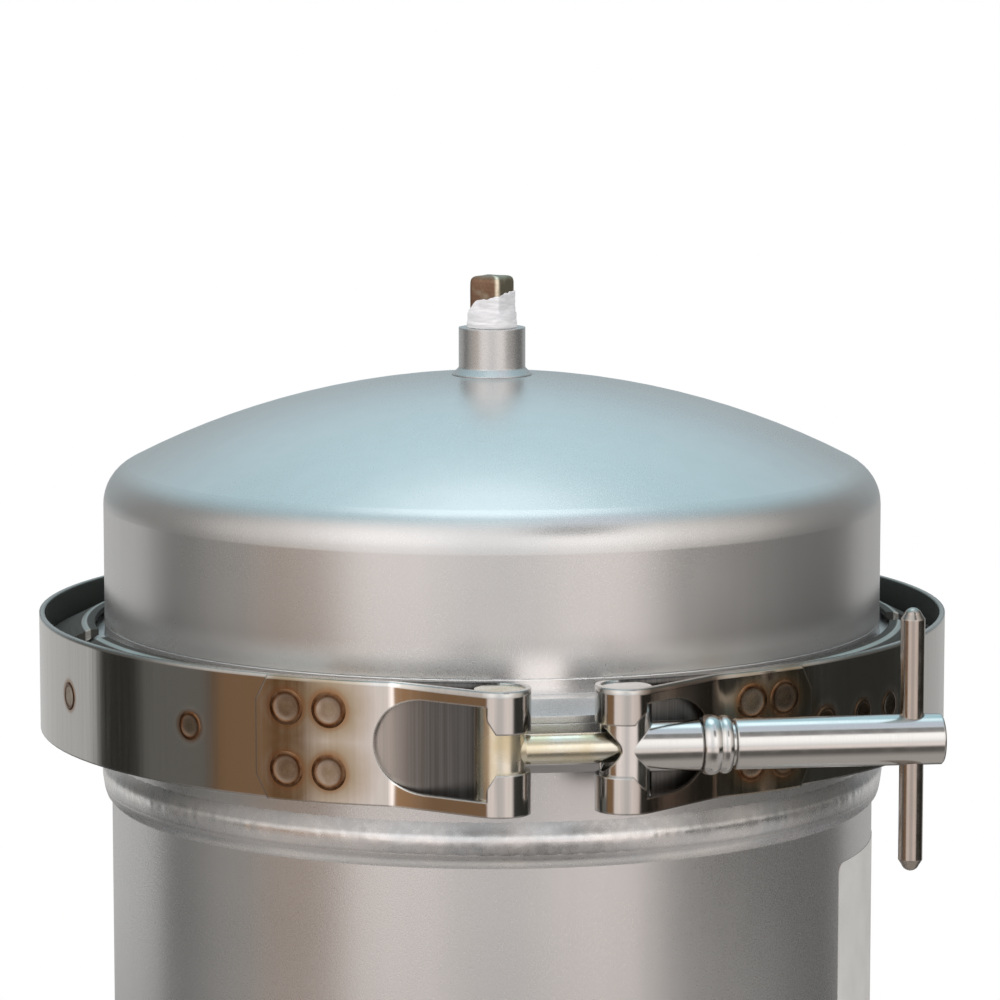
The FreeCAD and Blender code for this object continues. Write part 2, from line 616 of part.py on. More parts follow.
def retainer_profile():
    """Section of a V retainer: web against the strap, sloped legs, and turned-up lips."""
    web_outer = RETAINER_OUTER_R
    web_inner = FLANGE_RADIUS + RETAINER_RIM_GAP
    lip_outer = RETAINER_LIP_RADIUS + RETAINER_WALL
    rise = RETAINER_BEVEL_GAP / math.cos(math.radians(BEVEL_ANGLE))
    slant = RETAINER_WALL / math.cos(math.radians(BEVEL_ANGLE))

    def leg(radius):
        return (FLANGE_RADIUS - radius) * BEVEL_SLOPE + rise

    top = JOINT_RISE + HEAD_RIM_THICK
    low = JOINT_RISE - SHELL_RIM_THICK
    lip_top = leg(RETAINER_LIP_RADIUS) + RETAINER_LIP_HEIGHT
    upper = [(web_outer, top + leg(web_outer) + slant),
             (lip_outer, top + leg(lip_outer) + slant), (lip_outer, top + lip_top),
             (RETAINER_LIP_RADIUS, top + lip_top), (RETAINER_LIP_RADIUS, top + leg(RETAINER_LIP_RADIUS)),
             (web_inner, top + leg(web_inner))]
    lower = [(web_inner, low - leg(web_inner)),
             (RETAINER_LIP_RADIUS, low - leg(RETAINER_LIP_RADIUS)),
             (RETAINER_LIP_RADIUS, low - lip_top), (lip_outer, low - lip_top),
             (lip_outer, low - leg(lip_outer) - slant), (web_outer, low - leg(web_outer) - slant)]
    return outline(upper[0], upper[1:] + lower)


def v_retainer(start, end):
    """Retainer segment between two angles from the middle of the clamp's opening."""
    face = retainer_profile().rotated(V(0, 0, 0), V(0, 0, 1), start - 90.0)
    segment = face.revolve(V(0, 0, 0), V(0, 0, 1), end - start)
    return clamp_placed(segment)


def on_bolt(shape):
    """Place a piece made along +Z, from the middle of the opening, on the bolt's axis."""
    return clamp_placed(along(shape, V(0, BOLT_Y, 0), V(1, 0, 0)))


def trunnion_pin(side):
    """Upright pin that lies in one of the strap's loops."""
    height = STRAP_WIDTH - 2 * TRUNNION_SETBACK
    return Part.makeCylinder(TRUNNION_RADIUS, height, V(side * TRUNNION_OFFSET, BOLT_Y, -height / 2))


def t_bolt():
    """Bolt with a cross pin for a head, flared where the two meet."""
    start = -TRUNNION_OFFSET
    neck_end = start + TRUNNION_RADIUS
    shaft = turned((0, start), (BOLT_NECK_RADIUS, start),
                   (BOLT_NECK_RADIUS, neck_end - BOLT_NECK_LENGTH), (BOLT_RADIUS, neck_end),
                   (BOLT_RADIUS, BOLT_END - BOLT_CHAMFER),
                   (BOLT_RADIUS - BOLT_CHAMFER, BOLT_END), (0, BOLT_END))
    return on_bolt(shaft).fuse(clamp_placed(trunnion_pin(-1))).removeSplitter()


def trunnion_sleeve():
    """Cross pin with a sleeve that the bolt passes through, its bore widened where it enters."""
    body = turned((0, TRUNNION_OFFSET), (SLEEVE_RADIUS, TRUNNION_OFFSET),
                  (SLEEVE_RADIUS, SLEEVE_END - SLEEVE_CHAMFER),
                  (SLEEVE_RADIUS - SLEEVE_CHAMFER, SLEEVE_END), (0, SLEEVE_END))
    mouth = TRUNNION_OFFSET - SLEEVE_MOUTH_FROM_AXIS
    bore = turned((0, 0), (SLEEVE_MOUTH_RADIUS, 0), (SLEEVE_MOUTH_RADIUS, mouth),
                  (SLEEVE_BORE_RADIUS, TRUNNION_OFFSET + SLEEVE_MOUTH_FROM_AXIS),
                  (SLEEVE_BORE_RADIUS, SLEEVE_END + CUT_OVER), (0, SLEEVE_END + CUT_OVER))
    solid = on_bolt(body).fuse(clamp_placed(trunnion_pin(1)))
    return solid.cut(on_bolt(bore)).removeSplitter()


COLLAR_START = SLEEVE_END + FACE_GAP
BARREL_START = COLLAR_START + COLLAR_LENGTH + FACE_GAP
BARREL_END = BARREL_START + BARREL_LENGTH
BAR_AT = BARREL_END - BAR_FROM_BARREL_END


def thrust_collar():
    """Turned thrust collar with two rounded beads and a groove between them."""
    low = COLLAR_START
    high = COLLAR_START + COLLAR_LENGTH
    groove = low + COLLAR_GROOVE_AT
    root = COLLAR_RADIUS - COLLAR_GROOVE_DEPTH
    bore = BOLT_RADIUS + BOLT_RUNNING_GAP
    front_bead = ((COLLAR_RADIUS, (low + groove) / 2), (root, groove))
    back_bead = ((COLLAR_RADIUS - COLLAR_BEAD_STEP, (groove + high) / 2), (root - COLLAR_BACK_STEP, high))
    return on_bolt(turned((bore, low), (root, low), front_bead, back_bead, (bore, high)))


def handle_barrel():
    """Long nut of the handle: blind threaded bore, and a cross hole for the bar."""
    neck = BARREL_START + BARREL_NECK_LENGTH
    body = turned((0, BARREL_START), (BARREL_NECK_RADIUS, BARREL_START), (BARREL_NECK_RADIUS, neck),
                  (BARREL_RADIUS - BARREL_CHAMFER, neck), (BARREL_RADIUS, neck + BARREL_CHAMFER),
                  (BARREL_RADIUS, BARREL_END - BARREL_CHAMFER),
                  (BARREL_RADIUS - BARREL_CHAMFER, BARREL_END), (0, BARREL_END))
    bore = Part.makeCylinder(BOLT_RADIUS + BOLT_RUNNING_GAP, BOLT_END + BARREL_BORE_SPARE - BARREL_START,
                             V(0, 0, BARREL_START))
    reach = 2 * BARREL_RADIUS
    cross = Part.makeCylinder(BAR_RADIUS + BAR_FIT_GAP, 2 * reach, V(BAR_AT, BOLT_Y, -reach))
    return on_bolt(body.cut(bore)).cut(clamp_placed(cross))


def handle_bar():
    """Sliding-fit tommy bar through the barrel, with tapered and rounded ends."""
    half = BAR_LENGTH / 2
    tip = BAR_DOME_RADIUS
    sphere = (tip ** 2 + BAR_DOME_HEIGHT ** 2) / (2 * BAR_DOME_HEIGHT)
    centre = half - sphere
    middle = on_circle((0.0, centre), sphere, math.degrees(math.asin(tip / sphere)) / 2)
    shoulder = half - BAR_DOME_HEIGHT
    bar = turned((0, -half), ((middle[0], -middle[1]), (tip, -shoulder)),
                 (BAR_RADIUS, -half + BAR_TAPER), (BAR_RADIUS, half - BAR_TAPER),
                 (tip, shoulder), (middle, (0, half)))
    return clamp_placed(bar.translated(V(BAR_AT, BOLT_Y, 0)))


def cartridge_places():
    """Centres of the seven cartridges in plan: one in the middle and a ring round it."""
    places = [V(0, 0, 0)]
    for i in range(CARTRIDGE_RING_COUNT):
        angle = CARTRIDGE_RING_START + i * 360.0 / CARTRIDGE_RING_COUNT
        places.append(polar(CARTRIDGE_RING_RADIUS, angle))
    return places


def tube_sheet():
    """Plate between the dirty and clean sides, with a hole and a raised seat per cartridge."""
    sheet = Part.makeCylinder(SHELL_INNER_R - TUBE_SHEET_GAP, TUBE_SHEET_THICK, V(0, 0, TUBE_SHEET_Z))
    seat = turned((SEAT_RADIUS - SEAT_HALF_WIDTH, SHEET_TOP_Z),
                  (SEAT_RADIUS + SEAT_HALF_WIDTH, SHEET_TOP_Z), (SEAT_RADIUS, SHEET_TOP_Z + SEAT_HEIGHT))
    hole = Part.makeCylinder(SHEET_HOLE_RADIUS, TUBE_SHEET_THICK, V(0, 0, TUBE_SHEET_Z))
    for place in cartridge_places():
        sheet = sheet.cut(hole.translated(place)).fuse(seat.translated(place))
    return sheet


def guide_post():
    """Post on a three-armed spider that stands in a hole of the tube sheet."""
    height = NUT_Z + NUT_HEIGHT + POST_TIP - TUBE_SHEET_Z
    post = Part.makeCylinder(POST_RADIUS, height, V(0, 0, TUBE_SHEET_Z))
    arm = Part.makeBox(SHEET_HOLE_RADIUS, POST_ARM_WIDTH, TUBE_SHEET_THICK,
                       V(0, -POST_ARM_WIDTH / 2, TUBE_SHEET_Z))
    for i in range(3):
        post = post.fuse(spun(arm, 120.0 * i))
    inside = Part.makeCylinder(SHEET_HOLE_RADIUS - POST_ARM_GAP, height, V(0, 0, TUBE_SHEET_Z))
    return post.common(inside).removeSplitter()


def cartridge():
    """Open-ended cartridge."""
    return turned((CARTRIDGE_BORE_RADIUS, CARTRIDGE_Z), (CARTRIDGE_RADIUS, CARTRIDGE_Z),
                  (CARTRIDGE_RADIUS, CAP_Z), (CARTRIDGE_BORE_RADIUS, CAP_Z))


def seal_cap():
    """Cap that closes a cartridge's upper end and guides it on its post."""
    bore = POST_RADIUS + CAP_FIT_GAP
    return turned((bore, CAP_Z), (CAP_RADIUS, CAP_Z), (CAP_RADIUS, CAP_Z + CAP_PLATE),
                  (CAP_HUB_RADIUS + CAP_HUB_FLARE, CAP_Z + CAP_PLATE), (CAP_HUB_RADIUS, NUT_Z),
                  (bore, NUT_Z))


def cap_nut():
    """Hexagon nut that presses a cap down."""
    corner = NUT_ACROSS_FLATS / math.sqrt(3)
    points = [V(corner * math.cos(math.radians(60 * i)), corner * math.sin(math.radians(60 * i)), NUT_Z)
              for i in range(6)]
    nut = Part.Face(Part.makePolygon(points + points[:1])).extrude(V(0, 0, NUT_HEIGHT))
    return nut.cut(Part.makeCylinder(POST_RADIUS + THREAD_FIT_GAP, NUT_HEIGHT, V(0, 0, NUT_Z)))


def save(name, shape):
    """Write one sub-part to its own file."""
    shape.exportStep(os.path.join("parts", name + ".step"))


def save_vessel():
    save("head_dome", head_dome())
    save("head_flange", head_flange())
    save("closure_o_ring", closure_o_ring())
    save("shell_flange", shell_flange())
    save("shell_body", shell_body())
    save("bottom_head", bottom_head())
    save("inlet_nozzle", nozzle(180, INLET_Z))
    save("outlet_nozzle", nozzle(0, OUTLET_Z))
    for number, angle in enumerate(LEG_ANGLES, 1):
        save("leg_%d" % number, spun(leg(), angle))
        save("foot_pad_%d" % number, spun(foot_pad(), angle))


def save_ports():
    save("vent_coupling", vent_coupling())
    save("side_drain_coupling", side_drain_coupling())
    save("bottom_drain_coupling", bottom_drain_coupling())
    for name, port, base, way in (("vent", VENT_PORT, VENT_BASE, V(0, 0, 1)),
                                  ("side_drain", DRAIN_PORT, SIDE_BASE, V(0, -1, 0)),
                                  ("bottom_drain", DRAIN_PORT, BOTTOM_BASE, V(0, 0, -1))):
        save(name + "_plug", along(plug(port), base, way))
        save(name + "_tape", along(plug_tape(port), base, way))


def save_clamp():
    save("clamp_band", clamp_band())
    near = RETAINER_FRONT_GAP_ANGLE
    side_low = RETAINER_SIDE_GAP_ANGLE - RETAINER_GAP_HALF_ANGLE
    side_high = RETAINER_SIDE_GAP_ANGLE + RETAINER_GAP_HALF_ANGLE
    back = 180.0 - RETAINER_GAP_HALF_ANGLE
    spans = [(near, side_low), (side_high, back), (-back, -side_high), (-side_low, -near)]
    for number, (start, end) in enumerate(spans, 1):
        save("v_retainer_%d" % number, v_retainer(start, end))
    save("t_bolt", t_bolt())
    save("trunnion_sleeve", trunnion_sleeve())
    save("thrust_collar", thrust_collar())
    save("handle_barrel", handle_barrel())
    save("handle_bar", handle_bar())


def save_internals():
    save("tube_sheet", tube_sheet())
    nuts = []
    for number, place in enumerate(cartridge_places(), 1):
        save("guide_post_%d" % number, guide_post().translated(place))
        save("cartridge_%d" % number, cartridge().translated(place))
        save("seal_cap_%d" % number, seal_cap().translated(place))
        nuts.append(cap_nut().translated(place))
    save("cap_nuts", Part.makeCompound(nuts))


def main():
    os.makedirs("parts", exist_ok=True)
    save_vessel()
    save_ports()
    save_clamp()
    save_internals()


main()
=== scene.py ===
import json
import math

import bmesh
import bpy
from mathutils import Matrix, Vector, noise

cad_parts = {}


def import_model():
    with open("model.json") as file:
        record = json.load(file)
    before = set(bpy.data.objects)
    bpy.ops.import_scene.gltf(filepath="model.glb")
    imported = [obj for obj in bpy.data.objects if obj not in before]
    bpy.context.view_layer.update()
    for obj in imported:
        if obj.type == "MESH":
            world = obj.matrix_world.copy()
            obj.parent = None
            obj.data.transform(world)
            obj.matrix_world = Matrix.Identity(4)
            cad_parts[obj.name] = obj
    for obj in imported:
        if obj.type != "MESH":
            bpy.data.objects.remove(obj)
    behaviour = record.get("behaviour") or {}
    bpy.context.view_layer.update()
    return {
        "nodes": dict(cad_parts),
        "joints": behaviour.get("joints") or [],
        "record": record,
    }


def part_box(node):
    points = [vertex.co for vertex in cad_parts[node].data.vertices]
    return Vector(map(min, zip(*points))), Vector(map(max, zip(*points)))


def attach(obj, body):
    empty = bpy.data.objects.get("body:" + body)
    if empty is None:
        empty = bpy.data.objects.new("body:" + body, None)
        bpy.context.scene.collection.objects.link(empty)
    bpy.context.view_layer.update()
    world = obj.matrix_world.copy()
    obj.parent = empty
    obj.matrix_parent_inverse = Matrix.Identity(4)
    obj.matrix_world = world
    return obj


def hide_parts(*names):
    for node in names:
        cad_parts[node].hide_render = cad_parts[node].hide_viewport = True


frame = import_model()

# Looks of a multi-cartridge filter housing: satin vessel, polished V-band clamp with
# heat-tinted spot welds, turned handle, taped vent plug, and a plain studio round it.
# Metres. Angles round the vessel are in degrees from the front, positive to the right.

MM = 0.001

# The vessel's radii and levels, from the frame
STRAP_LOW, STRAP_HIGH = (corner.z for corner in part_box("clamp_band"))
CLAMP_Z = (STRAP_LOW + STRAP_HIGH) / 2
STRAP_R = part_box("clamp_band")[1].y
SHELL_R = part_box("shell_body")[1].y
HEAD_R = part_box("head_dome")[1].y
VENT_MOUTH_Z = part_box("vent_coupling")[1].z

# The clamp's bolt axis, from its joint
HANDLE_JOINT = next(j for j in frame["joints"] if j["name"] == "handle_turn")
BOLT_AXIS = Vector(HANDLE_JOINT["axis"])
BOLT_ORIGIN = Vector(HANDLE_JOINT["pos_m"])
CLAMP_TURN = math.degrees(math.atan2(BOLT_AXIS.y, BOLT_AXIS.x))

# The clamp's tabs lie on the strap: the thickness of one more layer
TAB_R = STRAP_R + 1.6 * MM

# Spot welds: angle from the middle of the clamp's opening, height off the strap's middle,
# size against the largest, and the radius of the face that it lies on
WELD_ROW = 8.3 * MM
TAB_WELD_ANGLES = (-32.1, -26.8, 23.7, 28.4)
STRAP_WELD_ANGLES = (-71.9, -46.2, 35.9, 42.9, 48.9)
WELDS = [(angle, up * WELD_ROW, 1.0, TAB_R) for angle in TAB_WELD_ANGLES for up in (1, -1)]
WELDS += [(angle, 0.0, 0.8, STRAP_R) for angle in STRAP_WELD_ANGLES]
WELD_RING = 4.1 * MM


def around(radius, angle, z):
    """Point at a radius, at an angle from the front and a height."""
    a = math.radians(angle)
    return Vector((radius * math.sin(a), -radius * math.cos(a), z))


def polar(radius, t, z):
    """Point at a radius, at an angle in radians from +X and a height."""
    return Vector((radius * math.cos(t), radius * math.sin(t), z))


# Rays for each rounded edge in the shading
BEVEL_SAMPLES = 6


class Look:
    """A finish, built node by node on a Principled shader."""

    def __init__(self, name, metallic, roughness, color):
        self.material = bpy.data.materials.new(name)
        self.material.use_nodes = True
        self.tree = self.material.node_tree
        self.shader = self.tree.nodes["Principled BSDF"]
        self.shader.inputs["Metallic"].default_value = metallic
        self.shader.inputs["Roughness"].default_value = roughness
        self.shader.inputs["Base Color"].default_value = (*color, 1.0)
        self.place = self.tree.nodes.new("ShaderNodeTexCoord").outputs["Object"]

    def feed(self, socket, value):
        """Link a socket, or set a number, vector or colour."""
        if isinstance(value, bpy.types.NodeSocket):
            self.tree.links.new(value, socket)
        elif isinstance(value, tuple) and len(value) == 3 and socket.type == "RGBA":
            socket.default_value = (*value, 1.0)
        else:
            socket.default_value = value

    def math(self, operation, *values):
        """One arithmetic step on sockets or numbers."""
        node = self.tree.nodes.new("ShaderNodeMath")
        node.operation = operation
        for socket, value in zip(node.inputs, values):
            self.feed(socket, value)
        return node.outputs[0]

    def vector(self, operation, a, b):
        """One step on two vectors; a dot product or a distance is a number."""
        node = self.tree.nodes.new("ShaderNodeVectorMath")
        node.operation = operation
        self.feed(node.inputs[0], a)
        self.feed(node.inputs[1], b)
        return node.outputs["Value" if operation in ("DOT_PRODUCT", "DISTANCE") else "Vector"]

    def parts(self, vector):
        """The x, y and z of a vector."""
        node = self.tree.nodes.new("ShaderNodeSeparateXYZ")
        self.feed(node.inputs[0], vector)
        return node.outputs

    def joined(self, x, y, z):
        """A vector of x, y and z."""
        node = self.tree.nodes.new("ShaderNodeCombineXYZ")
        for socket, value in zip(node.inputs, (x, y, z)):
            self.feed(socket, value)
        return node.outputs[0]

    def noise(self, scale, detail=2.0, stretch=None, vector=None):
        """Noise from 0 to 1; the scale is in cycles per metre."""
        vector = self.place if vector is None else vector
        if stretch:
            vector = self.vector("MULTIPLY", vector, stretch)
        node = self.tree.nodes.new("ShaderNodeTexNoise")
        self.feed(node.inputs["Vector"], vector)
        self.feed(node.inputs["Scale"], scale)
        self.feed(node.inputs["Detail"], detail)
        return node.outputs["Fac"]

    def between(self, value, low, high, to_low=0.0, to_high=1.0):
        """A value from low to high, carried over to another range and held at its ends."""
        node = self.tree.nodes.new("ShaderNodeMapRange")
        for socket, number in zip(node.inputs, (value, low, high, to_low, to_high)):
            self.feed(socket, number)
        return node.outputs[0]

    def soft(self, value, low, high):
        """From 0 to 1 along a smooth step."""
        out = self.between(value, low, high)
        out.node.interpolation_type = "SMOOTHSTEP"
        return out

    def band(self, value, rise, fall):
        """1 between two smooth steps, each given as the places where it is 0 and where it is 1."""
        return self.math("MULTIPLY", self.soft(value, *rise), self.soft(value, *fall))

    def ramp(self, value, stops):
        """Colours along a value; a stop is a place and a colour."""
        node = self.tree.nodes.new("ShaderNodeValToRGB")
        self.feed(node.inputs[0], value)
        elements = node.color_ramp.elements
        while len(elements) < len(stops):
            elements.new(0.5)
        for element, (place, color) in zip(elements, stops):
            element.position = place
            element.color = (*color, 1.0)
        return node.outputs[0]

    def mix(self, fac, a, b, how="MIX"):
        """Colour b over colour a, by a share from 0 to 1."""
        node = self.tree.nodes.new("ShaderNodeMix")
        node.data_type = "RGBA"
        node.blend_type = how
        node.clamp_result = False
        self.feed(node.inputs[0], fac)
        self.feed(node.inputs[6], a)
        self.feed(node.inputs[7], b)
        return node.outputs[2]

    def bump(self, height, distance, edge=None):
        """Relief from a height, over edges rounded to a radius if asked."""
        node = self.tree.nodes.new("ShaderNodeBump")
        node.inputs["Distance"].default_value = distance
        self.feed(node.inputs["Height"], height)
        if edge:
            rounded = self.tree.nodes.new("ShaderNodeBevel")
            rounded.samples = BEVEL_SAMPLES
            rounded.inputs["Radius"].default_value = edge
            self.tree.links.new(rounded.outputs[0], node.inputs["Normal"])
        self.tree.links.new(node.outputs[0], self.shader.inputs["Normal"])

    def set(self, name, value):
        """Give one of the shader's own sockets a value or a link."""
        self.feed(self.shader.inputs[name], value)

    def arc(self, radius, turn=0.0):
        """Length round the vessel from an angle, and height over the clamp's middle, in millimetres."""
        x, y, z = self.parts(self.place)
        angle = self.math("ARCTAN2", x, self.math("MULTIPLY", y, -1.0))
        length = self.math("MULTIPLY", self.math("SUBTRACT", angle, math.radians(turn)), radius / MM)
        height = self.math("MULTIPLY", self.math("SUBTRACT", z, CLAMP_Z), 1 / MM)
        return length, height

    def reach(self):
        """Distance from the vessel's axis, in millimetres."""
        x, y, _ = self.parts(self.place)
        return self.math("DIVIDE", self.vector("DISTANCE", self.joined(x, y, 0.0), (0.0, 0.0, 0.0)), MM)

    def down_the_bolt(self):
        """Distance along the clamp's bolt, in metres."""
        offset = self.vector("SUBTRACT", self.place, tuple(BOLT_ORIGIN))
        return self.vector("DOT_PRODUCT", offset, tuple(BOLT_AXIS))


def tinted(color, factor):
    """A colour made lighter or darker by a factor."""
    return tuple(c * factor for c in color)


SATIN = (0.64, 0.63, 0.625)
SATIN_METAL = 0.86
BRIGHT = (0.66, 0.645, 0.63)
BAR = (0.45, 0.405, 0.37)

# The head's wall is brightened with painted light just above the clamp, lifting the strap's shade there,
# between these heights over the clamp's middle: each pair is where the painted band starts and where it
# is whole, in millimetres
PAINTED_LIGHT_TOP = (24.0, 16.0)
PAINTED_LIGHT_FOOT = (9.0, 12.0)
PAINTED_LIGHT_GAIN = 1.55

# Radii that edges are rounded to in the shading
EDGE = 0.5 * MM
STRAP_EDGE = 0.7 * MM


def satin_metal(name, color, roughness):
    """Bead-blasted stainless: fine grain, soft clouding, faint upright handling marks, and painted light
    brightening it just above the clamp.
    """
    look = Look(name, SATIN_METAL, roughness, color)
    cloud = look.noise(11.0, 3.0)
    streak = look.noise(1.0, 2.0, stretch=(160.0, 160.0, 7.0))
    grain = look.noise(2600.0, 2.0)
    tone = look.mix(look.between(cloud, 0.3, 0.7), tinted(color, 0.95), tinted(color, 1.04))
    tone = look.mix(look.between(streak, 0.35, 0.75, 0.0, 0.35), tone, tinted(color, 0.93))
    _, height = look.arc(HEAD_R)
    # Painted light: the band just above the clamp is brightened against the strap's shade
    painted_light_band = look.band(height, PAINTED_LIGHT_TOP, PAINTED_LIGHT_FOOT)
    look.set("Base Color", look.mix(painted_light_band, tone, tinted(color, PAINTED_LIGHT_GAIN)))
    rough = look.math("ADD", look.between(cloud, 0.3, 0.7, roughness - 0.02, roughness + 0.03),
                      look.between(grain, 0.3, 0.7, -0.03, 0.03))
    look.set("Roughness", rough)
    look.bump(grain, 0.02 * MM, EDGE)
    return look


def weld_distance(look):
    """Distance to the nearest spot weld, a small weld's scaled up to match, and length round the strap.

    Both are in millimetres, and the length starts at the middle of the clamp's opening.
    """
    length, height = look.arc(STRAP_R, CLAMP_TURN)
    here = look.joined(length, look.math("ABSOLUTE", height), 0.0)
    nearest = None
    for angle, up, size, _ in WELDS:
        if up < 0:
            continue
        centre = (math.radians(angle) * STRAP_R / MM, up / MM, 0.0)
        away = look.math("DIVIDE", look.vector("DISTANCE", here, centre), size)
        nearest = away if nearest is None else look.math("MINIMUM", nearest, away)
    return nearest, length


POLISHED = (0.56, 0.545, 0.525)
TINT_BROWN = (0.30, 0.20, 0.125)
TINT_ORANGE = (0.30, 0.155, 0.07)
# Painted shade for the right tab near the opening
PAINTED_TAB_SHADE = (0.20, 0.14, 0.10)
TINT_RING = (0.085, 0.032, 0.012)
TINT_OLIVE = (0.34, 0.275, 0.19)
# Painted highlight for the left tab
PAINTED_TAB_HIGHLIGHT = (1.0, 0.98, 0.95)
# Painted shade for the strap's inner face at the back
INNER_PAINTED_SHADE = (0.20, 0.20, 0.18)

# The strap's outer skin, in millimetres from the vessel's axis
STRAP_SKIN = STRAP_R / MM + 0.03

# Marks round the strap, in millimetres from the middle of the clamp's opening, positive to the right: a
# painted shade on the right tab, a painted highlight on the left tab, the end of the tabs' heat tint, and
# a painted shade on the welds to the right. Each pair is where a mark is 0 and where it is whole
TAB_SHADE_STARTS = (14.0, 20.0)
TAB_SHADE_ENDS = (49.0, 41.0)
TAB_HIGHLIGHT_STARTS = (-44.8, -43.6)
TAB_HIGHLIGHT_ENDS = (-31.0, -43.0)
TAB_TINT_ENDS = (80.0, 76.0)
WELD_SHADE_STARTS = (50.0, 80.0)

# Heat tints and dullness round a spot weld: the distances in millimetres where each is 0 and whole
OLIVE_REACH = (15.0, 6.0)
ORANGE_REACH = (6.4, 4.4)
DULL_REACH = (8.0, 4.5)

# The strap's rolled upper edge, in millimetres: it is wider and falls away further near the clamp's
# opening, between a pair of places on either side of it
WIDENS, EDGE_WIDTHS = (60.0, 30.0), (1.2, 1.8)
DEEPENS, EDGE_FALLS = (66.0, 54.0), (0.22, 0.5)

# The windows' ends, how deep under the skin the strap's inner face lies, both in millimetres, and where
# along y the painted shade and dullness on that face start
WINDOW_ENDS = (61.0, 60.0)
INNER_DEPTH = (0.8, 1.2)
INNER_SHADE_FROM = (-0.03, 0.01)

# The inner layer behind the windows carries painted shade, darkest next to the loops: the span that it
# covers, in millimetres from the middle of the clamp's opening, and each stop's place in it and colour
WINDOW_SPAN = (20.0, 48.0)
WINDOW_PAINTED_SHADE = [(0.0, (0.045, 0.042, 0.038)), (0.16, (0.085, 0.08, 0.075)), (0.5, (0.11, 0.10, 0.092)),
                 (0.68, (0.17, 0.15, 0.135)), (0.86, (0.38, 0.34, 0.31)), (1.0, (0.46, 0.42, 0.39))]


def strap_metal():
    """Bright strip with heat tint round its spot welds, faint upright polishing lines, a painted
    highlight on the left tab, and painted shade on the right tab, behind the windows and on the inner
    face at the back.
    """
    look = Look("polished_strap_finish", 1.0, 0.13, POLISHED)
    away, length = weld_distance(look)
    lines = look.noise(1.0, 3.0, stretch=(900.0, 900.0, 25.0))
    smear = look.noise(60.0, 3.0)
    tone = look.mix(look.between(lines, 0.35, 0.7, 0.0, 0.5), POLISHED, tinted(POLISHED, 0.88))
    wander = look.math("ADD", away, look.between(smear, 0.3, 0.7, -2.2, 2.2))
    # Painted highlight on the left tab
    tab_highlight = look.math("MULTIPLY", look.soft(length, *TAB_HIGHLIGHT_ENDS), look.between(length, *TAB_HIGHLIGHT_STARTS))
    tone = look.mix(tab_highlight, tone, PAINTED_TAB_HIGHLIGHT)
    # Painted shade on the right tab near the opening
    tab_shaded = look.band(length, TAB_SHADE_STARTS, TAB_SHADE_ENDS)
    tone = look.mix(look.math("MULTIPLY", tab_shaded, 0.75), tone, PAINTED_TAB_SHADE)
    on_tab = look.between(look.math("ABSOLUTE", length), *TAB_TINT_ENDS)
    olive = look.math("MULTIPLY", look.between(wander, *OLIVE_REACH), on_tab)
    tone = look.mix(olive, tone, TINT_OLIVE)
    ragged = look.math("ADD", away, look.between(smear, 0.3, 0.7, -0.5, 0.5))
    tone = look.mix(look.between(ragged, *ORANGE_REACH), tone, TINT_ORANGE)
    tone, dull_and_shaded = strap_inside(look, tone, length)
    look.set("Base Color", tone)
    rough = look.math("ADD", look.between(lines, 0.3, 0.7, 0.10, 0.17),
                      look.between(away, *DULL_REACH, 0.0, 0.12))
    look.set("Roughness", look.math("ADD", rough, look.math("MULTIPLY", dull_and_shaded, 0.2)))
    relief = look.math("SUBTRACT", look.math("MULTIPLY", lines, 0.006), rolled_edge(look, length))
    look.bump(relief, MM, STRAP_EDGE)
    return look


def rolled_edge(look, length):
    """How far the strap's outer face falls away towards its upper edge, in millimetres."""
    _, height = look.arc(STRAP_R)
    width = look.between(look.math("ABSOLUTE", length), *WIDENS, *EDGE_WIDTHS)
    below_edge = look.math("SUBTRACT", (STRAP_HIGH - CLAMP_Z) / MM, height)
    near = look.between(look.math("DIVIDE", below_edge, width), 1.0, 0.0)
    outside = look.between(look.reach(), STRAP_R / MM - 0.4, STRAP_R / MM - 0.2)
    fall = look.between(look.math("ABSOLUTE", length), *DEEPENS, *EDGE_FALLS)
    return look.math("MULTIPLY", look.math("MULTIPLY", near, near), look.math("MULTIPLY", outside, fall))


def strap_inside(look, tone, length):
    """Painted shade, with dull metal, behind the windows and on the strap's inner face at the back, and
    where it is.
    """
    reach = look.reach()
    side = look.math("ABSOLUTE", length)
    lines = look.noise(1.0, 2.0, stretch=(1500.0, 1500.0, 12.0))
    # Painted shade behind the windows, darkest next to the loops, over brushed lines
    painted_shading = look.ramp(look.between(side, *WINDOW_SPAN), WINDOW_PAINTED_SHADE)
    brushed = look.between(lines, 0.35, 0.7, 0.0, 0.6)
    painted_shading = look.mix(brushed, painted_shading, look.mix(0.5, painted_shading, (0.25, 0.25, 0.25)))
    window = look.math("MULTIPLY", look.between(reach, STRAP_SKIN + 0.03, STRAP_SKIN),
                       look.between(side, *WINDOW_ENDS))
    tone = look.mix(window, tone, painted_shading)
    _, y, _ = look.parts(look.place)
    near, far = INNER_DEPTH
    # Painted shade on the strap's inner face at the back
    inner = look.math("MULTIPLY", look.between(reach, STRAP_SKIN - near, STRAP_SKIN - far),
                      look.soft(y, *INNER_SHADE_FROM))
    tone = look.mix(inner, tone, INNER_PAINTED_SHADE)
    return tone, look.math("MAXIMUM", window, inner)


# A spot weld from its middle outwards: the shades' radius in millimetres, and each shade's place as
# a share of it and colour
WELD_TINT_R = 6.0
WELD_SHADES = [(0.0, (0.28, 0.23, 0.15)), (0.28, (0.30, 0.24, 0.185)), (0.52, (0.36, 0.29, 0.235)),
               (0.60, (0.20, 0.10, 0.05)), (0.66, TINT_RING), (0.76, (0.12, 0.05, 0.02)),
               (0.84, (0.24, 0.12, 0.05)), (1.0, (0.30, 0.18, 0.09))]
WELD_PAINTED_SHADE = (0.10, 0.07, 0.045)


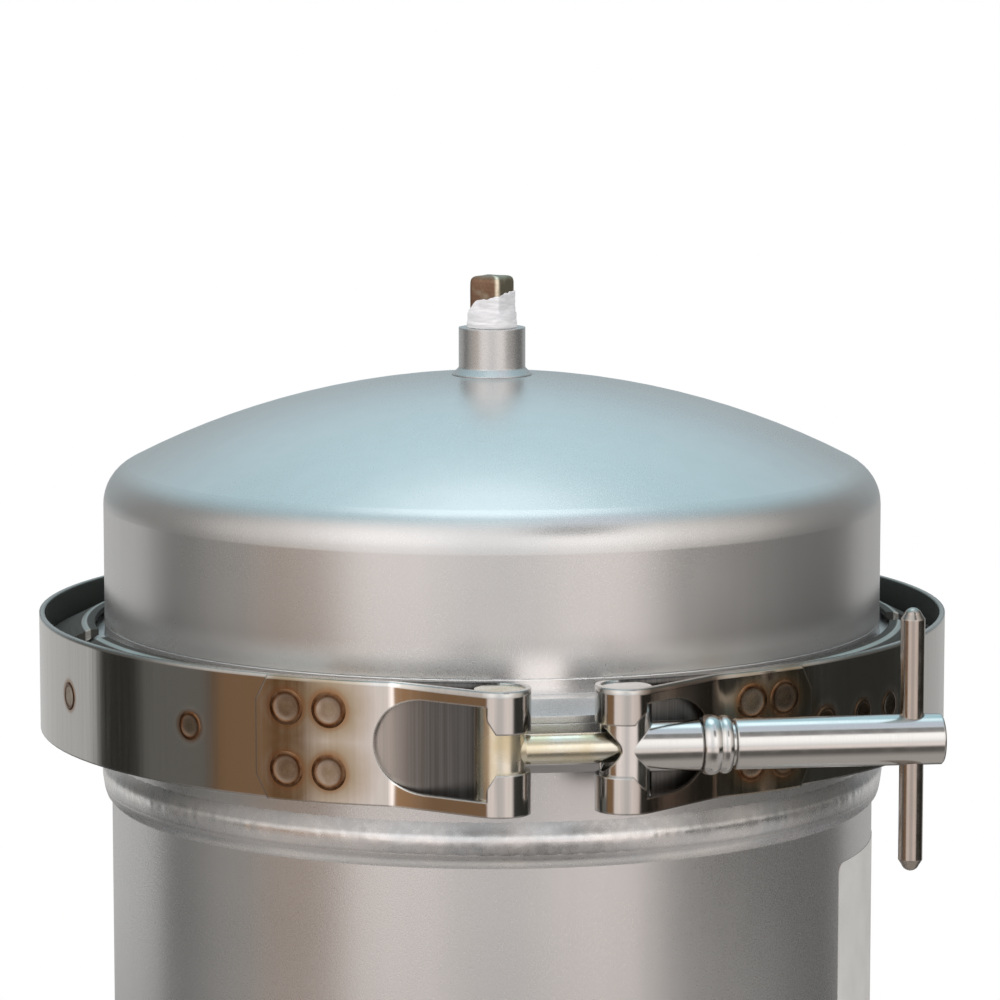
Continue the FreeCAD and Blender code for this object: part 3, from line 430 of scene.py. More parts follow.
def weld_mark_metal():
    """Spot-weld marks: a dull pinkish disc in a dark burnt ring, with an orange edge, darkened with
    painted shade on the welds to the right.
    """
    look = Look("spot_weld_finish", 1.0, 0.36, TINT_BROWN)
    away, length = weld_distance(look)
    blotch = look.noise(420.0, 3.0)
    tone = look.ramp(look.math("DIVIDE", away, WELD_TINT_R), WELD_SHADES)
    tone = look.mix(look.between(blotch, 0.35, 0.7, 0.0, 0.5), tone, tinted(TINT_BROWN, 0.9))
    # Painted shade: the welds to the right are darkened
    tone = look.mix(look.soft(length, *WELD_SHADE_STARTS), tone, WELD_PAINTED_SHADE)
    look.set("Base Color", tone)
    look.set("Roughness", look.between(blotch, 0.3, 0.7, 0.2, 0.32))
    look.bump(blotch, 0.03 * MM)
    return look


def turned_metal(name, color, roughness, lines_scale):
    """Lathe-turned metal: fine rings across the bolt's axis."""
    look = Look(name, 1.0, roughness, color)
    u = look.down_the_bolt()
    rings = look.noise(1.0, 3.0, vector=look.joined(look.math("MULTIPLY", u, lines_scale), 0.0, 0.0))
    smear = look.noise(240.0, 3.0)
    tone = look.mix(look.between(rings, 0.35, 0.7, 0.0, 0.4), color, tinted(color, 0.9))
    look.set("Base Color", tone)
    rough = look.math("ADD", look.between(smear, 0.35, 0.7, roughness - 0.03, roughness + 0.05),
                      look.between(rings, 0.3, 0.7, -0.02, 0.03))
    look.set("Roughness", rough)
    look.bump(rings, 0.004 * MM, EDGE)
    return look


def zinc_metal():
    """Pale yellow zinc plating with warmer patches."""
    pale, warm = (0.80, 0.765, 0.66), (0.74, 0.64, 0.43)
    look = Look("yellow_zinc_finish", 1.0, 0.24, pale)
    patch = look.noise(95.0, 4.0)
    look.set("Base Color", look.mix(look.between(patch, 0.4, 0.68), pale, warm))
    look.set("Roughness", look.between(patch, 0.3, 0.7, 0.18, 0.34))
    look.bump(look.noise(1500.0, 2.0), 0.01 * MM, EDGE)
    return look


# The retainers' flanks are darkened and dulled with painted shade but for a ring, of this radius and
# half-width in millimetres, and but for the front, up to a place along y
RETAINER_LIP = HEAD_R / MM + 5.8
LIP_HALF = (0.5, 0.9)
RETAINER_PAINTED_SHADE = (0.05, 0.05, 0.045)
RETAINER_SHADE_STARTS = (-0.105, -0.075)


def retainer_metal():
    """Rolled mill-finish stainless of the V retainers: bright lips, and sloped legs darkened and dulled
    with painted shade except at the front.
    """
    color = (0.58, 0.57, 0.53)
    look = Look("retainer_finish", 1.0, 0.3, color)
    length, height = look.arc(STRAP_R)
    flow = look.noise(1.0, 3.0, vector=look.joined(look.math("MULTIPLY", length, 0.05),
                                                   look.math("MULTIPLY", height, 2.0), 0.0))
    tone = look.mix(look.between(flow, 0.35, 0.7), color, tinted(color, 0.82))
    off_lip = look.math("ABSOLUTE", look.math("SUBTRACT", look.reach(), RETAINER_LIP))
    _, y, _ = look.parts(look.place)
    # Painted shade: the sloped legs are darkened and made less metallic, except on the lip's ring and at
    # the front
    legs_shaded = look.math("MULTIPLY", look.between(off_lip, *LIP_HALF), look.soft(y, *RETAINER_SHADE_STARTS))
    look.set("Base Color", look.mix(legs_shaded, tone, RETAINER_PAINTED_SHADE))
    look.set("Metallic", look.between(legs_shaded, 0.0, 1.0, 1.0, 0.3))
    rough = look.between(flow, 0.3, 0.7, 0.26, 0.4)
    look.set("Roughness", look.math("ADD", rough, look.math("MULTIPLY", legs_shaded, 0.4)))
    look.bump(flow, 0.01 * MM, EDGE)
    return look


# Where the vent plug's front corner points, as a turn from +X, and how far round it a painted highlight
# runs down the corner, from nothing to whole, both in radians
PLUG_CORNER = math.radians(-74.7)
CORNER_HIGHLIGHT_REACH = (0.17, 0.06)


def plug_metal():
    """Cast plug, browned, with paler patches, a painted highlight down its front corner, a painted olive
    reflection on the faces to the right of it, and a fine cast grain.
    """
    brown, pale = (0.26, 0.155, 0.10), (0.46, 0.40, 0.30)
    reflected_olive, corner_highlight = (0.25, 0.215, 0.15), (0.80, 0.70, 0.55)
    look = Look("plug_finish", 0.85, 0.42, brown)
    patch = look.noise(260.0, 4.0)
    grain = look.noise(1400.0, 3.0)
    x, y, _ = look.parts(look.place)
    turn = look.math("SUBTRACT", look.math("ARCTAN2", y, x), PLUG_CORNER)
    # Painted reflection: the faces to the right of the front corner turn olive
    tone = look.mix(look.between(turn, -0.05, 0.05), brown, reflected_olive)
    tone = look.mix(look.between(patch, 0.5, 0.75), tone, pale)
    off_corner = look.math("ADD", look.math("ABSOLUTE", turn), look.between(patch, 0.3, 0.7, -0.04, 0.04))
    # Painted highlight down the front corner
    look.set("Base Color", look.mix(look.between(off_corner, *CORNER_HIGHLIGHT_REACH), tone, corner_highlight))
    look.set("Roughness", look.between(grain, 0.3, 0.7, 0.36, 0.52))
    look.bump(grain, 0.08 * MM)
    return look


def tape_plastic():
    """Soft white sealing tape, creased and stretched round the thread."""
    look = Look("thread_tape_finish", 0.0, 0.55, (0.86, 0.855, 0.86))
    crease = look.noise(1.0, 4.0, stretch=(300.0, 300.0, 1500.0))
    tone = look.mix(look.between(crease, 0.3, 0.65), (0.66, 0.65, 0.67), (0.80, 0.79, 0.80))
    look.set("Base Color", tone)
    look.set("Sheen Weight", 0.2)
    look.bump(crease, 0.18 * MM)
    return look


def seal_rubber():
    """Matt black rubber with an uneven sheen."""
    look = Look("seal_finish", 0.0, 0.6, (0.018, 0.018, 0.018))
    look.set("Roughness", look.between(look.noise(900.0, 2.0), 0.3, 0.7, 0.5, 0.7))
    return look


def filter_fibre():
    """Spun white filter fibre with criss-crossed winding."""
    look = Look("filter_finish", 0.0, 0.85, (0.86, 0.85, 0.82))
    winding = look.noise(1.0, 3.0, stretch=(260.0, 260.0, 700.0))
    look.set("Base Color", look.mix(winding, (0.78, 0.77, 0.73), (0.92, 0.91, 0.88)))
    look.bump(winding, 0.6 * MM)
    return look


def label_film():
    """Blank off-white label film with a faint mottle."""
    look = Look("label_finish", 0.0, 0.5, (0.60, 0.585, 0.56))
    mottle = look.noise(90.0, 4.0)
    tone = look.mix(look.between(mottle, 0.3, 0.7), (0.57, 0.555, 0.53), (0.63, 0.615, 0.59))
    look.set("Base Color", tone)
    look.bump(look.noise(700.0, 2.0), 0.02 * MM)
    return look


# Painted highlight and shade up the girth weld's section: how bright it is, by height over the clamp's
# middle in millimetres
BEAD_PAINTED_LIGHT = [(-38.0, 1.35), (-35.3, 1.35), (-34.2, 1.0), (-33.3, 0.9), (-32.3, 1.25), (-30.4, 1.35),
               (-29.2, 1.4), (-28.5, 1.3), (-27.6, 0.78), (-26.0, 0.75), (-24.0, 0.70)]


def weld_metal():
    """Girth weld, lightened with painted highlight from its crest down, and darkened with painted shade
    above, where it meets the neck.
    """
    color = (0.66, 0.64, 0.63)
    look = Look("weld_finish", 0.9, 0.28, color)
    cloud = look.noise(70.0, 3.0)
    _, height = look.arc(HEAD_R)
    low, high = BEAD_PAINTED_LIGHT[0][0], BEAD_PAINTED_LIGHT[-1][0]
    stops = [((level - low) / (high - low), (light, light, light)) for level, light in BEAD_PAINTED_LIGHT]
    # Painted highlight from the crest down, and painted shade above it
    painted_shading = look.ramp(look.between(height, low, high), stops)
    tone = look.mix(look.between(cloud, 0.4, 0.7), color, (0.56, 0.57, 0.58))
    look.set("Base Color", look.mix(1.0, tone, painted_shading, "MULTIPLY"))
    look.set("Roughness", look.between(look.noise(500.0, 3.0), 0.3, 0.7, 0.23, 0.33))
    look.bump(look.noise(900.0, 2.0), 0.01 * MM)
    return look


def make_looks():
    """Every finish, by the record's material slot or by its own name."""
    return {
        "satin_steel": satin_metal("satin_finish", SATIN, 0.29),
        "leg_steel": satin_metal("leg_finish", tinted(SATIN, 0.92), 0.36),
        "retainer_steel": retainer_metal(),
        "polished_strap": strap_metal(),
        "bright_steel": turned_metal("bright_finish", BRIGHT, 0.15, 2400.0),
        "bar": turned_metal("bar_finish", BAR, 0.17, 1500.0),
        "yellow_zinc": zinc_metal(),
        "plug_steel": plug_metal(),
        "thread_tape": tape_plastic(),
        "seal_rubber": seal_rubber(),
        "filter_media": filter_fibre(),
        "weld": weld_metal(),
        "weld_mark": weld_mark_metal(),
        "label": label_film(),
    }


def dress_frame(looks):
    """Give each node of the frame the finish of its slot, and the handle's bar its own."""
    slots = {row["node"]: row["material_slot"] for row in frame["record"]["subparts"]}
    for name, node in frame["nodes"].items():
        node.data.materials.clear()
        node.data.materials.append(looks["bar" if name == "handle_bar" else slots[name]].material)


def add_piece(name, mesh, look, body):
    """Link a mesh as a piece that rides on a body."""
    mesh.materials.append(look.material)
    piece = bpy.data.objects.new(name, mesh)
    bpy.context.scene.collection.objects.link(piece)
    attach(piece, body)
    return piece


def smooth(mesh):
    """Shade all faces of a mesh smooth."""
    for face in mesh.polygons:
        face.use_smooth = True
    return mesh


def grid_mesh(name, rows, close_rows=False, close_columns=False):
    """Smooth mesh through rows of points, closed either way if asked."""
    mesh = bpy.data.meshes.new(name)
    points = [p for row in rows for p in row]
    count, width = len(rows), len(rows[0])
    faces = []
    for i in range(count if close_rows else count - 1):
        for j in range(width if close_columns else width - 1):
            a, b = i * width, (i + 1) % count * width
            k = (j + 1) % width
            faces.append((a + j, a + k, b + k, b + j))
    mesh.from_pydata(points, [], faces)
    mesh.validate()
    return smooth(mesh)


# A spot weld's section: distance from its middle as a share of its ring's radius, and rise in
# millimetres
MARK_MIDDLE = 0.03
MARK_SECTION = [(0.45, 0.03), (0.78, 0.04), (0.86, 0.10), (0.94, 0.17), (1.02, 0.17),
                (1.10, 0.10), (1.18, 0.02), (1.20, -0.05)]
MARK_STEPS = 48


def weld_marks(looks):
    """Spot-weld marks on the strap: shallow discs with a raised burnt ring."""
    mesh = bpy.data.meshes.new("spot_weld_marks")
    build = bmesh.new()
    for angle, up, size, radius in WELDS:
        rings = []
        for reach, rise in MARK_SECTION:
            ring = []
            for i in range(MARK_STEPS):
                t = 2 * math.pi * i / MARK_STEPS
                across = math.cos(t) * reach * WELD_RING * size
                z = CLAMP_Z + up + math.sin(t) * reach * WELD_RING * size
                turn = angle + CLAMP_TURN + math.degrees(across / radius)
                ring.append(build.verts.new(around(radius + rise * MM, turn, z)))
            rings.append(ring)
        centre = build.verts.new(around(radius + MARK_MIDDLE * MM, angle + CLAMP_TURN, CLAMP_Z + up))
        for i in range(MARK_STEPS):
            k = (i + 1) % MARK_STEPS
            build.faces.new((centre, rings[0][i], rings[0][k]))
            for inner, outer in zip(rings, rings[1:]):
                build.faces.new((inner[i], outer[i], outer[k], inner[k]))
    bmesh.ops.recalc_face_normals(build, faces=build.faces)
    build.to_mesh(mesh)
    build.free()
    return add_piece("spot_weld_marks", smooth(mesh), looks["weld_mark"], "housing")


# Girth weld under the shell's flange: its section as height over the clamp's middle and how far
# it stands out from the neck, in millimetres
BEAD_SECTION = [(-23.8, -0.10), (-24.8, 0.05), (-25.9, 0.27), (-27.0, 0.56), (-28.0, 0.85),
                (-28.8, 1.0), (-29.8, 1.02), (-31.0, 0.90), (-32.2, 0.72), (-33.4, 0.50),
                (-34.6, 0.26), (-35.6, -0.10), (-36.4, -0.68), (-37.1, -1.45), (-37.5, -1.90)]

# Its ridge: level over the clamp's middle, half-width, and how far it wanders up and down, in
# millimetres
RIDGE_LEVEL = -29.2
RIDGE_HALF = 1.6
RIDGE_WANDER = 0.3

# Its ripples: how many, points for each, how much they bow and round which level, and how far they,
# the swells and the lumps stand up from the ridge, in millimetres
RIPPLE_COUNT = 190
RIPPLE_STEPS = 5
RIPPLE_BOW = 0.05
RIPPLE_LEVEL = -29.0
RIPPLE_RISE = 0.10
SWELL_RISE = 0.10
LUMP_RISE = 0.05


def girth_weld(looks):
    """Rippled weld bead all round the vessel."""
    steps = RIPPLE_COUNT * RIPPLE_STEPS
    rows = []
    for i in range(steps):
        turn = 360.0 * i / steps
        wander = noise.noise(Vector((turn * 0.11, 3.1, 0.0))) * RIDGE_WANDER
        swell = noise.noise(Vector((turn * 0.55, 0.7, 1.3)))
        row = []
        for level, rise in BEAD_SECTION:
            on_top = math.exp(-((level - RIDGE_LEVEL) / RIDGE_HALF) ** 2)
            ripple = (i / RIPPLE_STEPS - RIPPLE_BOW * (level - RIPPLE_LEVEL) ** 2) % 1.0
            lump = noise.noise(Vector((turn * 1.7, level * 0.8, 5.0)))
            relief = RIPPLE_RISE * ripple * (0.6 + swell) + SWELL_RISE * swell + LUMP_RISE * lump
            out = rise + on_top * relief
            row.append(around(HEAD_R + out * MM, turn, CLAMP_Z + (level + wander * on_top) * MM))
        rows.append(row)
    mesh = grid_mesh("girth_weld_bead", rows, close_rows=True)
    return add_piece("girth_weld_bead", mesh, looks["weld"], "housing")


# Label on the shell's right side; it is a little deeper than it stands out, so that its back lies
# within the shell's wall
LABEL_START = 62.0
LABEL_WIDTH = 82 * MM
LABEL_TOP = CLAMP_Z - 48.5 * MM
LABEL_HEIGHT = 110 * MM
LABEL_CORNER = 3 * MM
LABEL_THICK = 0.12 * MM
LABEL_DEPTH = 1.4 * LABEL_THICK
LABEL_COLUMNS = 40
CORNER_STEPS = 6


def label(looks):
    """Blank label with rounded corners, wrapped on the shell."""
    outline = []
    corners = [(LABEL_CORNER, LABEL_CORNER, 180), (LABEL_WIDTH - LABEL_CORNER, LABEL_CORNER, 270),
               (LABEL_WIDTH - LABEL_CORNER, LABEL_HEIGHT - LABEL_CORNER, 0),
               (LABEL_CORNER, LABEL_HEIGHT - LABEL_CORNER, 90)]
    for x, y, start in corners:
        for k in range(CORNER_STEPS + 1):
            t = math.radians(start + k * 90 / CORNER_STEPS)
            outline.append((x + LABEL_CORNER * math.cos(t), y + LABEL_CORNER * math.sin(t)))
    mesh = bpy.data.meshes.new("label_sheet")
    build = bmesh.new()
    radius = SHELL_R + LABEL_THICK
    build.faces.new([build.verts.new((x, y, 0.0)) for x, y in outline])
    for i in range(1, LABEL_COLUMNS):
        cut_x = LABEL_WIDTH * i / LABEL_COLUMNS
        bmesh.ops.bisect_plane(build, geom=build.verts[:] + build.edges[:] + build.faces[:],
                               plane_co=(cut_x, 0, 0), plane_no=(1, 0, 0))
    made = bmesh.ops.extrude_face_region(build, geom=build.faces[:])
    for vertex in [v for v in made["geom"] if isinstance(v, bmesh.types.BMVert)]:
        vertex.co.z = -LABEL_DEPTH
    for vertex in build.verts:
        x, y, depth = vertex.co
        turn = LABEL_START + math.degrees(x / SHELL_R)
        vertex.co = around(radius + depth, turn, LABEL_TOP - LABEL_HEIGHT + y)
    bmesh.ops.recalc_face_normals(build, faces=build.faces)
    build.to_mesh(mesh)
    build.free()
    return add_piece("label_sheet", mesh, looks["label"], "housing")


# The vent plug: its square head is turned on its thread; heights are over the vent's mouth
PLUG_TURN = PLUG_CORNER + math.pi / 4
PLUG_HALF = 4.8 * MM
PLUG_HEAD_FOOT = 4.2 * MM
PLUG_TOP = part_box("vent_plug")[1].z - VENT_MOUTH_Z
PLUG_DEEP = VENT_MOUTH_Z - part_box("vent_plug")[0].z
PLUG_THREAD_R = 6.62 * MM
THREAD_TAPER = 1 / 32
SQUARE_POWER = 13.0
PLUG_STEPS = 96

# Its head in millimetres: at the foot, height over it and how far the sides are drawn in, at the
# crown, drop below the top and the same, and how uneven the casting is
HEAD_FOOT = [(-0.6, 0.35), (0.1, 0.0)]
HEAD_CROWN = [(4.0, 0.0), (1.9, 0.03), (1.25, 0.14), (0.75, 0.38), (0.38, 0.78), (0.12, 1.4), (0.0, 2.3)]
CAST_RISE = 0.05

# The shank ends this far below the foot
SHANK_GAP = 0.7 * MM


def square_reach(angle, half):
    """Distance to a rounded square's side at an angle from one of its faces."""
    c, s = abs(math.cos(angle)), abs(math.sin(angle))
    return half / (c ** SQUARE_POWER + s ** SQUARE_POWER) ** (1 / SQUARE_POWER)


def vent_plug(looks):
    """Cast square-head plug: tapered shank, rounded corners and a softly crowned top."""
    turns = [2 * math.pi * i / PLUG_STEPS for i in range(PLUG_STEPS)]
    rows = []
    for z in (-PLUG_DEEP, PLUG_HEAD_FOOT - SHANK_GAP):
        radius = PLUG_THREAD_R + z * THREAD_TAPER
        rows.append([polar(radius, t, VENT_MOUTH_Z + z) for t in turns])
    head = [(PLUG_HEAD_FOOT + rise * MM, cut) for rise, cut in HEAD_FOOT]
    head += [(PLUG_TOP - drop * MM, cut) for drop, cut in HEAD_CROWN]
    for z, cut in head:
        row = []
        for t in turns:
            spot = Vector((math.cos(t) * 2.2, math.sin(t) * 2.2, z / MM * 0.4))
            cast = noise.noise(spot) * CAST_RISE * MM
            reach = square_reach(t - PLUG_TURN, PLUG_HALF) - cut * MM + cast
            row.append(polar(reach, t, VENT_MOUTH_Z + z))
        rows.append(row)
    mesh = grid_mesh("cast_vent_plug", rows, close_columns=True)
    build = bmesh.new()
    build.from_mesh(mesh)
    bmesh.ops.holes_fill(build, edges=[e for e in build.edges if e.is_boundary], sides=0)
    bmesh.ops.recalc_face_normals(build, faces=build.faces)
    build.to_mesh(mesh)
    build.free()
    piece = add_piece("cast_vent_plug", smooth(mesh), looks["plug_steel"], "vent_screw_plug")
    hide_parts("vent_plug")
    return piece


# Sealing tape that climbs from the vent plug's thread over the foot of its square head
WRAP_FOOT_R = 7.2 * MM
WRAP_FOOT = 0.05 * MM
WRAP_HALF_SQUARE = PLUG_HALF + 0.3 * MM
WRAP_THICK = 0.14 * MM
WRAP_STEPS = 144
WRAP_LEVELS = 30

# Its upper edge, in millimetres: how high it stands, how far it leans up to the right, how it frays,
# and its notches by degrees from the front, half-width in degrees and depth
WRAP_TOP = 9.0
WRAP_LEAN = 1.2
WRAP_FRAY = 0.35
WRAP_NOTCHES = [(-78.0, 16.0, 2.7), (-14.0, 13.0, 0.4)]

# It is round up to one height and turns square over the next; its creases and pleats stand out by
# these, in millimetres
WRAP_ROUND = 0.8 * MM
WRAP_TURNS_SQUARE = 5.2 * MM
WRAP_CREASE = 0.12
WRAP_PLEAT = 0.045


def plug_wrap(looks):
    """Ragged tape, round at the thread and squarish on the head, with loose creases."""
    outer, inner = [], []
    for i in range(WRAP_STEPS):
        t = 2 * math.pi * i / WRAP_STEPS
        facing = (math.degrees(t) + 90.0 + 180.0) % 360.0 - 180.0
        notch = sum(depth * math.exp(-((facing - place) / half) ** 2)
                    for place, half, depth in WRAP_NOTCHES)
        fray = noise.noise(Vector((math.cos(t) * 5, math.sin(t) * 5, 4.2)))
        top = (WRAP_TOP + WRAP_LEAN * math.sin(math.radians(facing)) - notch + WRAP_FRAY * fray) * MM
        square = square_reach(t - PLUG_TURN, WRAP_HALF_SQUARE)
        out_row, in_row = [], []
        for j in range(WRAP_LEVELS):
            z = j / (WRAP_LEVELS - 1) * top
            blend = min(1.0, max(0.0, (z - WRAP_ROUND) / WRAP_TURNS_SQUARE))
            blend = blend * blend * (3 - 2 * blend)
            radius = WRAP_FOOT_R * (1 - blend) + square * blend
            crease = noise.noise(Vector((math.cos(t) * 2.6, math.sin(t) * 2.6, z / MM * 0.55)))
            pleat = math.sin(z / MM * 3.4 + 2.4 * math.sin(t + 1.0))
            lift = (WRAP_CREASE * crease + WRAP_PLEAT * pleat) * MM
            out_row.append(polar(radius + lift, t, VENT_MOUTH_Z + WRAP_FOOT + z))
            in_row.append(polar(radius + lift - WRAP_THICK, t, VENT_MOUTH_Z + WRAP_FOOT + z))
        outer.append(out_row)
        inner.append(in_row[::-1])
    rows = [o + n for o, n in zip(outer, inner)]
    mesh = grid_mesh("plug_tape_wrap", rows, close_rows=True, close_columns=True)
    return add_piece("plug_tape_wrap", mesh, looks["thread_tape"], "vent_screw_plug")


# Radius of the studio round, whose middle is the clamp's
STUDIO_R = 2.2


def glossy_only(piece):
    """Leave a stage piece to be seen in reflections alone."""
    piece.visible_camera = False
    piece.visible_diffuse = False
    piece.visible_shadow = False
    piece.visible_transmission = False
    piece.visible_volume_scatter = False


# Soft panels above eye level: degrees from the front, elevation, half-angles of the core and the
# edge, and light
PANELS = [
    (0, 30, 0, 62, (0.85, 0.86, 0.88)),
    (-52, 22, 0, 50, (0.65, 0.60, 0.57)),
    (52, 22, 0, 50, (0.67, 0.62, 0.58)),
    (180, 5, 10, 60, (0.22, 0.27, 0.30)),
    (180, 70, 0, 60, (0.33, 0.615, 0.73)),
    (180, 76, 9, 21, (0.86, 0.90, 0.92)),
]
DIM = (0.15, 0.15, 0.14)
UNDERLIGHT = (0.46, 0.43, 0.40)

# A dark gap and a pale strip above it, over the front and a little to the right: where each starts
# and ends, in degrees of lift from the front, and how far aside, as shares of the studio's radius.
# Each pair is where it is 0 and where it is whole
GAP = (0.04, 0.04, 0.04)
GAP_SHARE = 0.8
GAP_STARTS, GAP_ENDS = (36.0, 43.0), (66.0, 62.0)
STRIP = (0.72, 0.79, 0.90)
STRIP_STARTS, STRIP_ENDS = (64.0, 70.0), (100.0, 88.0)
ASIDE_STARTS, ASIDE_ENDS = (0.16, 0.20), (0.52, 0.42)

# Cards and flags at eye level, and what lies below them: degrees from the front, and light
PALE, BLACK, GREY = (0.60, 0.60, 0.59), (0.035, 0.035, 0.03), (0.17, 0.165, 0.15)
BROWN, BEAM, MIDDLE = (0.27, 0.155, 0.08), (1.10, 0.99, 0.94), (0.78, 0.73, 0.71)
WALL = [
    (-180, PALE), (-115.5, PALE), (-112.5, BLACK), (-97, BLACK), (-94, GREY), (-73, GREY),
    (-71, tinted(BROWN, 0.4)), (-69, BROWN), (-46, BROWN), (-40, BEAM), (-18, BEAM), (-3, MIDDLE),
    (8, MIDDLE), (20, BEAM), (43, BEAM), (52, BLACK), (125, BLACK), (129, tinted(PALE, 0.85)),
    (180, tinted(PALE, 0.85)),
]
DEEP = [
    (-180, (0.08, 0.08, 0.08)), (-100, (0.10, 0.10, 0.10)), (-72, (0.42, 0.39, 0.37)),
    (-34, (0.34, 0.31, 0.29)), (0, (0.13, 0.12, 0.11)), (28, (0.13, 0.12, 0.11)),
    (50, (0.46, 0.43, 0.41)), (84, (0.52, 0.50, 0.48)), (108, (0.14, 0.14, 0.14)),
    (180, (0.10, 0.10, 0.10)),
]

# Elevations in degrees: the wall fades into the deep, the deep into the underlight, and the wall
# into the sky
DEEP_FADE = (-14.0, -22.0)
UNDER_FADE = (-38.0, -60.0)
SKY_FADE = (-7.0, 1.0)


def by_azimuth(look, turn, stops):
    """Light round the studio; turn is 0 at the back, 0.5 at the front and 1 at the back again."""
    return look.ramp(turn, [((degrees + 180.0) / 360.0, light) for degrees, light in stops])


def studio_look():
    """Light by direction from the clamp: soft panels above, and flags and cards at eye level."""
    look = Look("studio_light", 0.0, 1.0, (0, 0, 0))
    offset = look.vector("SUBTRACT", look.place, (0.0, 0.0, CLAMP_Z))
    x, y, z = look.parts(offset)
    ray = look.joined(look.math("DIVIDE", x, STUDIO_R), look.math("DIVIDE", y, STUDIO_R),
                      look.math("DIVIDE", z, STUDIO_R))
    azimuth = look.math("ARCTAN2", x, look.math("MULTIPLY", y, -1.0))
    turn = look.between(azimuth, -math.pi, math.pi)
    level = look.math("MULTIPLY", look.math("ARCSINE", look.math("DIVIDE", z, STUDIO_R)), 180 / math.pi)

    sky = DIM
    for side, up, core, edge, light in PANELS:
        rise = math.radians(up)
        aim = around(math.cos(rise), side, math.sin(rise))
        lit = look.soft(look.vector("DOT_PRODUCT", ray, tuple(aim)),
                        math.cos(math.radians(edge)), math.cos(math.radians(core)))
        sky = look.mix(lit, sky, light, "ADD")

    lift = look.math("MULTIPLY", look.math("ARCTAN2", z, look.math("MULTIPLY", y, -1.0)), 180 / math.pi)
    aside = look.math("DIVIDE", x, STUDIO_R)
    beside = look.band(aside, ASIDE_STARTS, ASIDE_ENDS)
    gap = look.band(lift, GAP_STARTS, GAP_ENDS)
    sky = look.mix(look.math("MULTIPLY", look.math("MULTIPLY", gap, beside), GAP_SHARE), sky, GAP)
    strip = look.band(lift, STRIP_STARTS, STRIP_ENDS)
    sky = look.mix(look.math("MULTIPLY", strip, beside), sky, STRIP)

    wall, deep = by_azimuth(look, turn, WALL), by_azimuth(look, turn, DEEP)
    low = look.mix(look.between(level, *DEEP_FADE), wall, deep)
    low = look.mix(look.between(level, *UNDER_FADE), low, UNDERLIGHT)
    light = look.mix(look.soft(level, *SKY_FADE), low, sky)
    emission = look.tree.nodes.new("ShaderNodeEmission")
    look.feed(emission.inputs["Color"], light)
    look.tree.links.new(emission.outputs[0], look.tree.nodes["Material Output"].inputs["Surface"])
    look.material.cycles.emission_sampling = "NONE"
    return look


def studio():
    """A round of soft light that only reflections show."""
    mesh = bpy.data.meshes.new("studio_round")
    build = bmesh.new()
    bmesh.ops.create_uvsphere(build, u_segments=96, v_segments=48, radius=STUDIO_R)
    bmesh.ops.translate(build, verts=build.verts[:], vec=(0, 0, CLAMP_Z))
    build.to_mesh(mesh)
    build.free()
    mesh.materials.append(studio_look().material)
    piece = bpy.data.objects.new("studio_round", smooth(mesh))
    bpy.context.scene.collection.objects.link(piece)
    glossy_only(piece)


# The floor's half-width, and how far off it starts to turn white and is wholly so
FLOOR_HALF = 60.0
FLOOR_FADE = (0.35, 1.2)


def floor():
    """Pale floor, clear from below: it holds the shadow near by, and turns to plain white further off."""
    look = Look("floor_finish", 0.0, 0.75, (0.86, 0.86, 0.86))
    x, y, _ = look.parts(look.place)
    away = look.vector("DISTANCE", look.joined(x, y, 0.0), (0.0, 0.0, 0.0))
    path = look.tree.nodes.new("ShaderNodeLightPath")
    seen = look.math("MAXIMUM", path.outputs["Is Camera Ray"], path.outputs["Is Transmission Ray"])
    white = look.tree.nodes.new("ShaderNodeEmission")
    white.inputs["Strength"].default_value = 1.0
    mixer = look.tree.nodes.new("ShaderNodeMixShader")
    look.feed(mixer.inputs[0], look.math("MULTIPLY", seen, look.between(away, *FLOOR_FADE)))
    look.tree.links.new(look.shader.outputs[0], mixer.inputs[1])
    look.tree.links.new(white.outputs[0], mixer.inputs[2])
    clear = look.tree.nodes.new("ShaderNodeBsdfTransparent")
    from_below = look.tree.nodes.new("ShaderNodeNewGeometry").outputs["Backfacing"]
    sides = look.tree.nodes.new("ShaderNodeMixShader")
    look.tree.links.new(from_below, sides.inputs[0])
    look.tree.links.new(mixer.outputs[0], sides.inputs[1])
    look.tree.links.new(clear.outputs[0], sides.inputs[2])
    look.tree.links.new(sides.outputs[0], look.tree.nodes["Material Output"].inputs["Surface"])
    mesh = bpy.data.meshes.new("floor")
    corners = [(x * FLOOR_HALF, y * FLOOR_HALF, 0) for x, y in ((-1, -1), (1, -1), (1, 1), (-1, 1))]
    mesh.from_pydata(corners, [], [(0, 1, 2, 3)])
    mesh.materials.append(look.material)
    piece = bpy.data.objects.new("floor", mesh)
    bpy.context.scene.collection.objects.link(piece)
    piece.visible_glossy = False


# Strength of the world where it lights dull surfaces
SOFT_LIGHT = 0.55


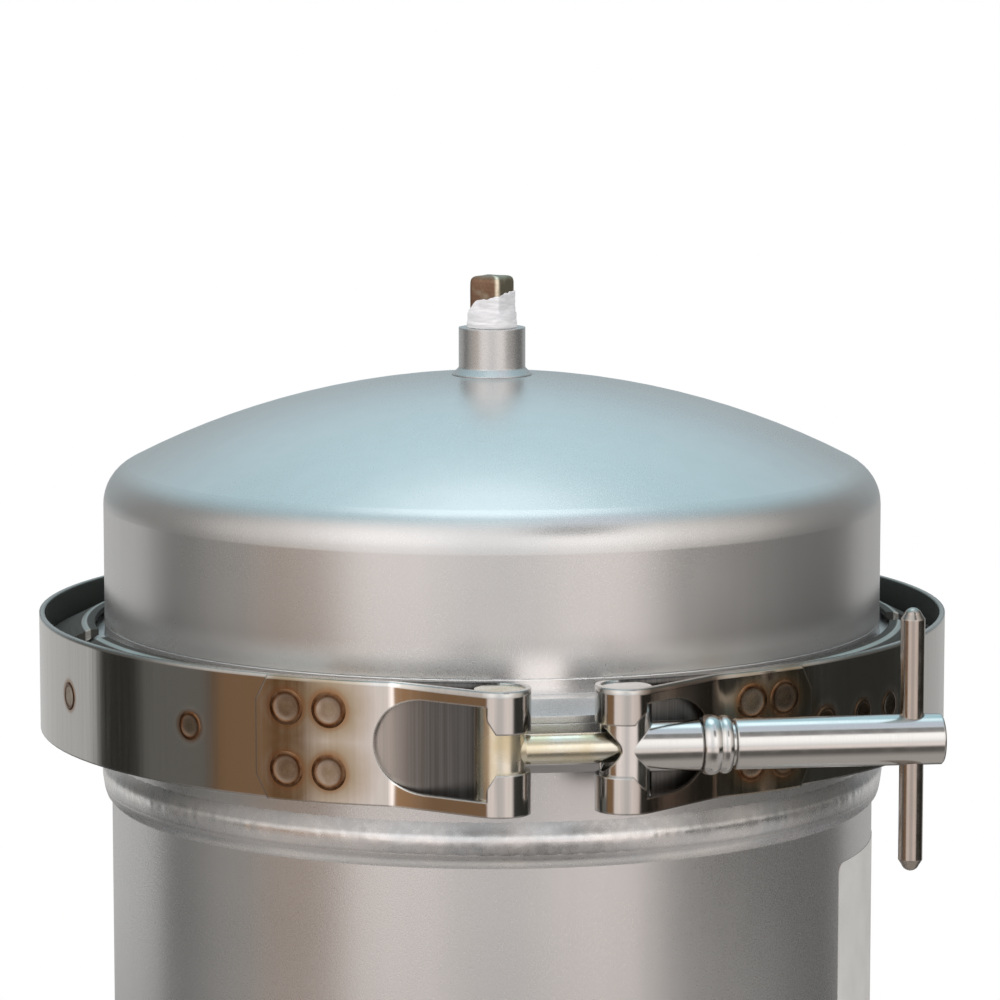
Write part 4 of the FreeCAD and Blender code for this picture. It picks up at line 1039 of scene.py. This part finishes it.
def world():
    """White where the camera, metal or glass sees it, and a softer light for everything else."""
    made = bpy.data.worlds.new("studio_world")
    bpy.context.scene.world = made
    made.use_nodes = True
    tree = made.node_tree
    background = tree.nodes["Background"]
    path = tree.nodes.new("ShaderNodeLightPath")
    seen = path.outputs["Is Camera Ray"]
    for ray in ("Is Glossy Ray", "Is Transmission Ray"):
        either = tree.nodes.new("ShaderNodeMath")
        either.operation = "MAXIMUM"
        tree.links.new(seen, either.inputs[0])
        tree.links.new(path.outputs[ray], either.inputs[1])
        seen = either.outputs[0]
    strength = tree.nodes.new("ShaderNodeMapRange")
    tree.links.new(seen, strength.inputs["Value"])
    strength.inputs["To Min"].default_value = SOFT_LIGHT
    strength.inputs["To Max"].default_value = 1.0
    tree.links.new(strength.outputs[0], background.inputs["Strength"])
    background.inputs["Color"].default_value = (1.0, 1.0, 1.0, 1.0)


# Lamps: name, place, diameter, power in watts, colour
LAMPS = [
    ("key_lamp", (-1.1, -1.6, 1.5), 1.0, 22.0, (1.0, 0.98, 0.96)),
    ("fill_lamp", (1.4, -1.3, 1.0), 1.0, 9.0, (1.0, 0.99, 0.98)),
    ("top_lamp", (0.0, 0.2, 2.0), 1.2, 14.0, (0.94, 0.98, 1.0)),
]


def lamp(name, place, size, power, color):
    """Soft area lamp that points at the clamp; reflections show the studio round instead."""
    data = bpy.data.lights.new(name, "AREA")
    data.shape = "DISK"
    data.size = size
    data.energy = power
    data.color = color
    piece = bpy.data.objects.new(name, data)
    piece.location = place
    piece.rotation_euler = (Vector((0, 0, CLAMP_Z)) - Vector(place)).to_track_quat("-Z", "Y").to_euler()
    piece.visible_camera = False
    piece.visible_glossy = False
    bpy.context.scene.collection.objects.link(piece)


# The camera: sensor's width and focal length in millimetres, place, and pitch down in radians
SENSOR = 36.0
FOCAL_LENGTH = 164.49
CAMERA_PLACE = (0.00228, -1.300, 0.70157)
CAMERA_PITCH = 0.1335


def camera():
    """The photograph's view, pitched down a little from in front."""
    data = bpy.data.cameras.new("camera")
    data.sensor_width = SENSOR
    data.lens = FOCAL_LENGTH
    piece = bpy.data.objects.new("camera", data)
    piece.location = CAMERA_PLACE
    piece.rotation_euler = (math.pi / 2 - CAMERA_PITCH, 0.0, 0.0)
    bpy.context.scene.collection.objects.link(piece)
    bpy.context.scene.camera = piece


def main():
    """The camera, the finishes, the added pieces, and the studio round them."""
    camera()
    looks = make_looks()
    dress_frame(looks)
    weld_marks(looks)
    girth_weld(looks)
    label(looks)
    vent_plug(looks)
    plug_wrap(looks)
    studio()
    floor()
    world()
    for row in LAMPS:
        lamp(*row)
    bpy.context.scene.view_settings.view_transform = "Standard"


main()
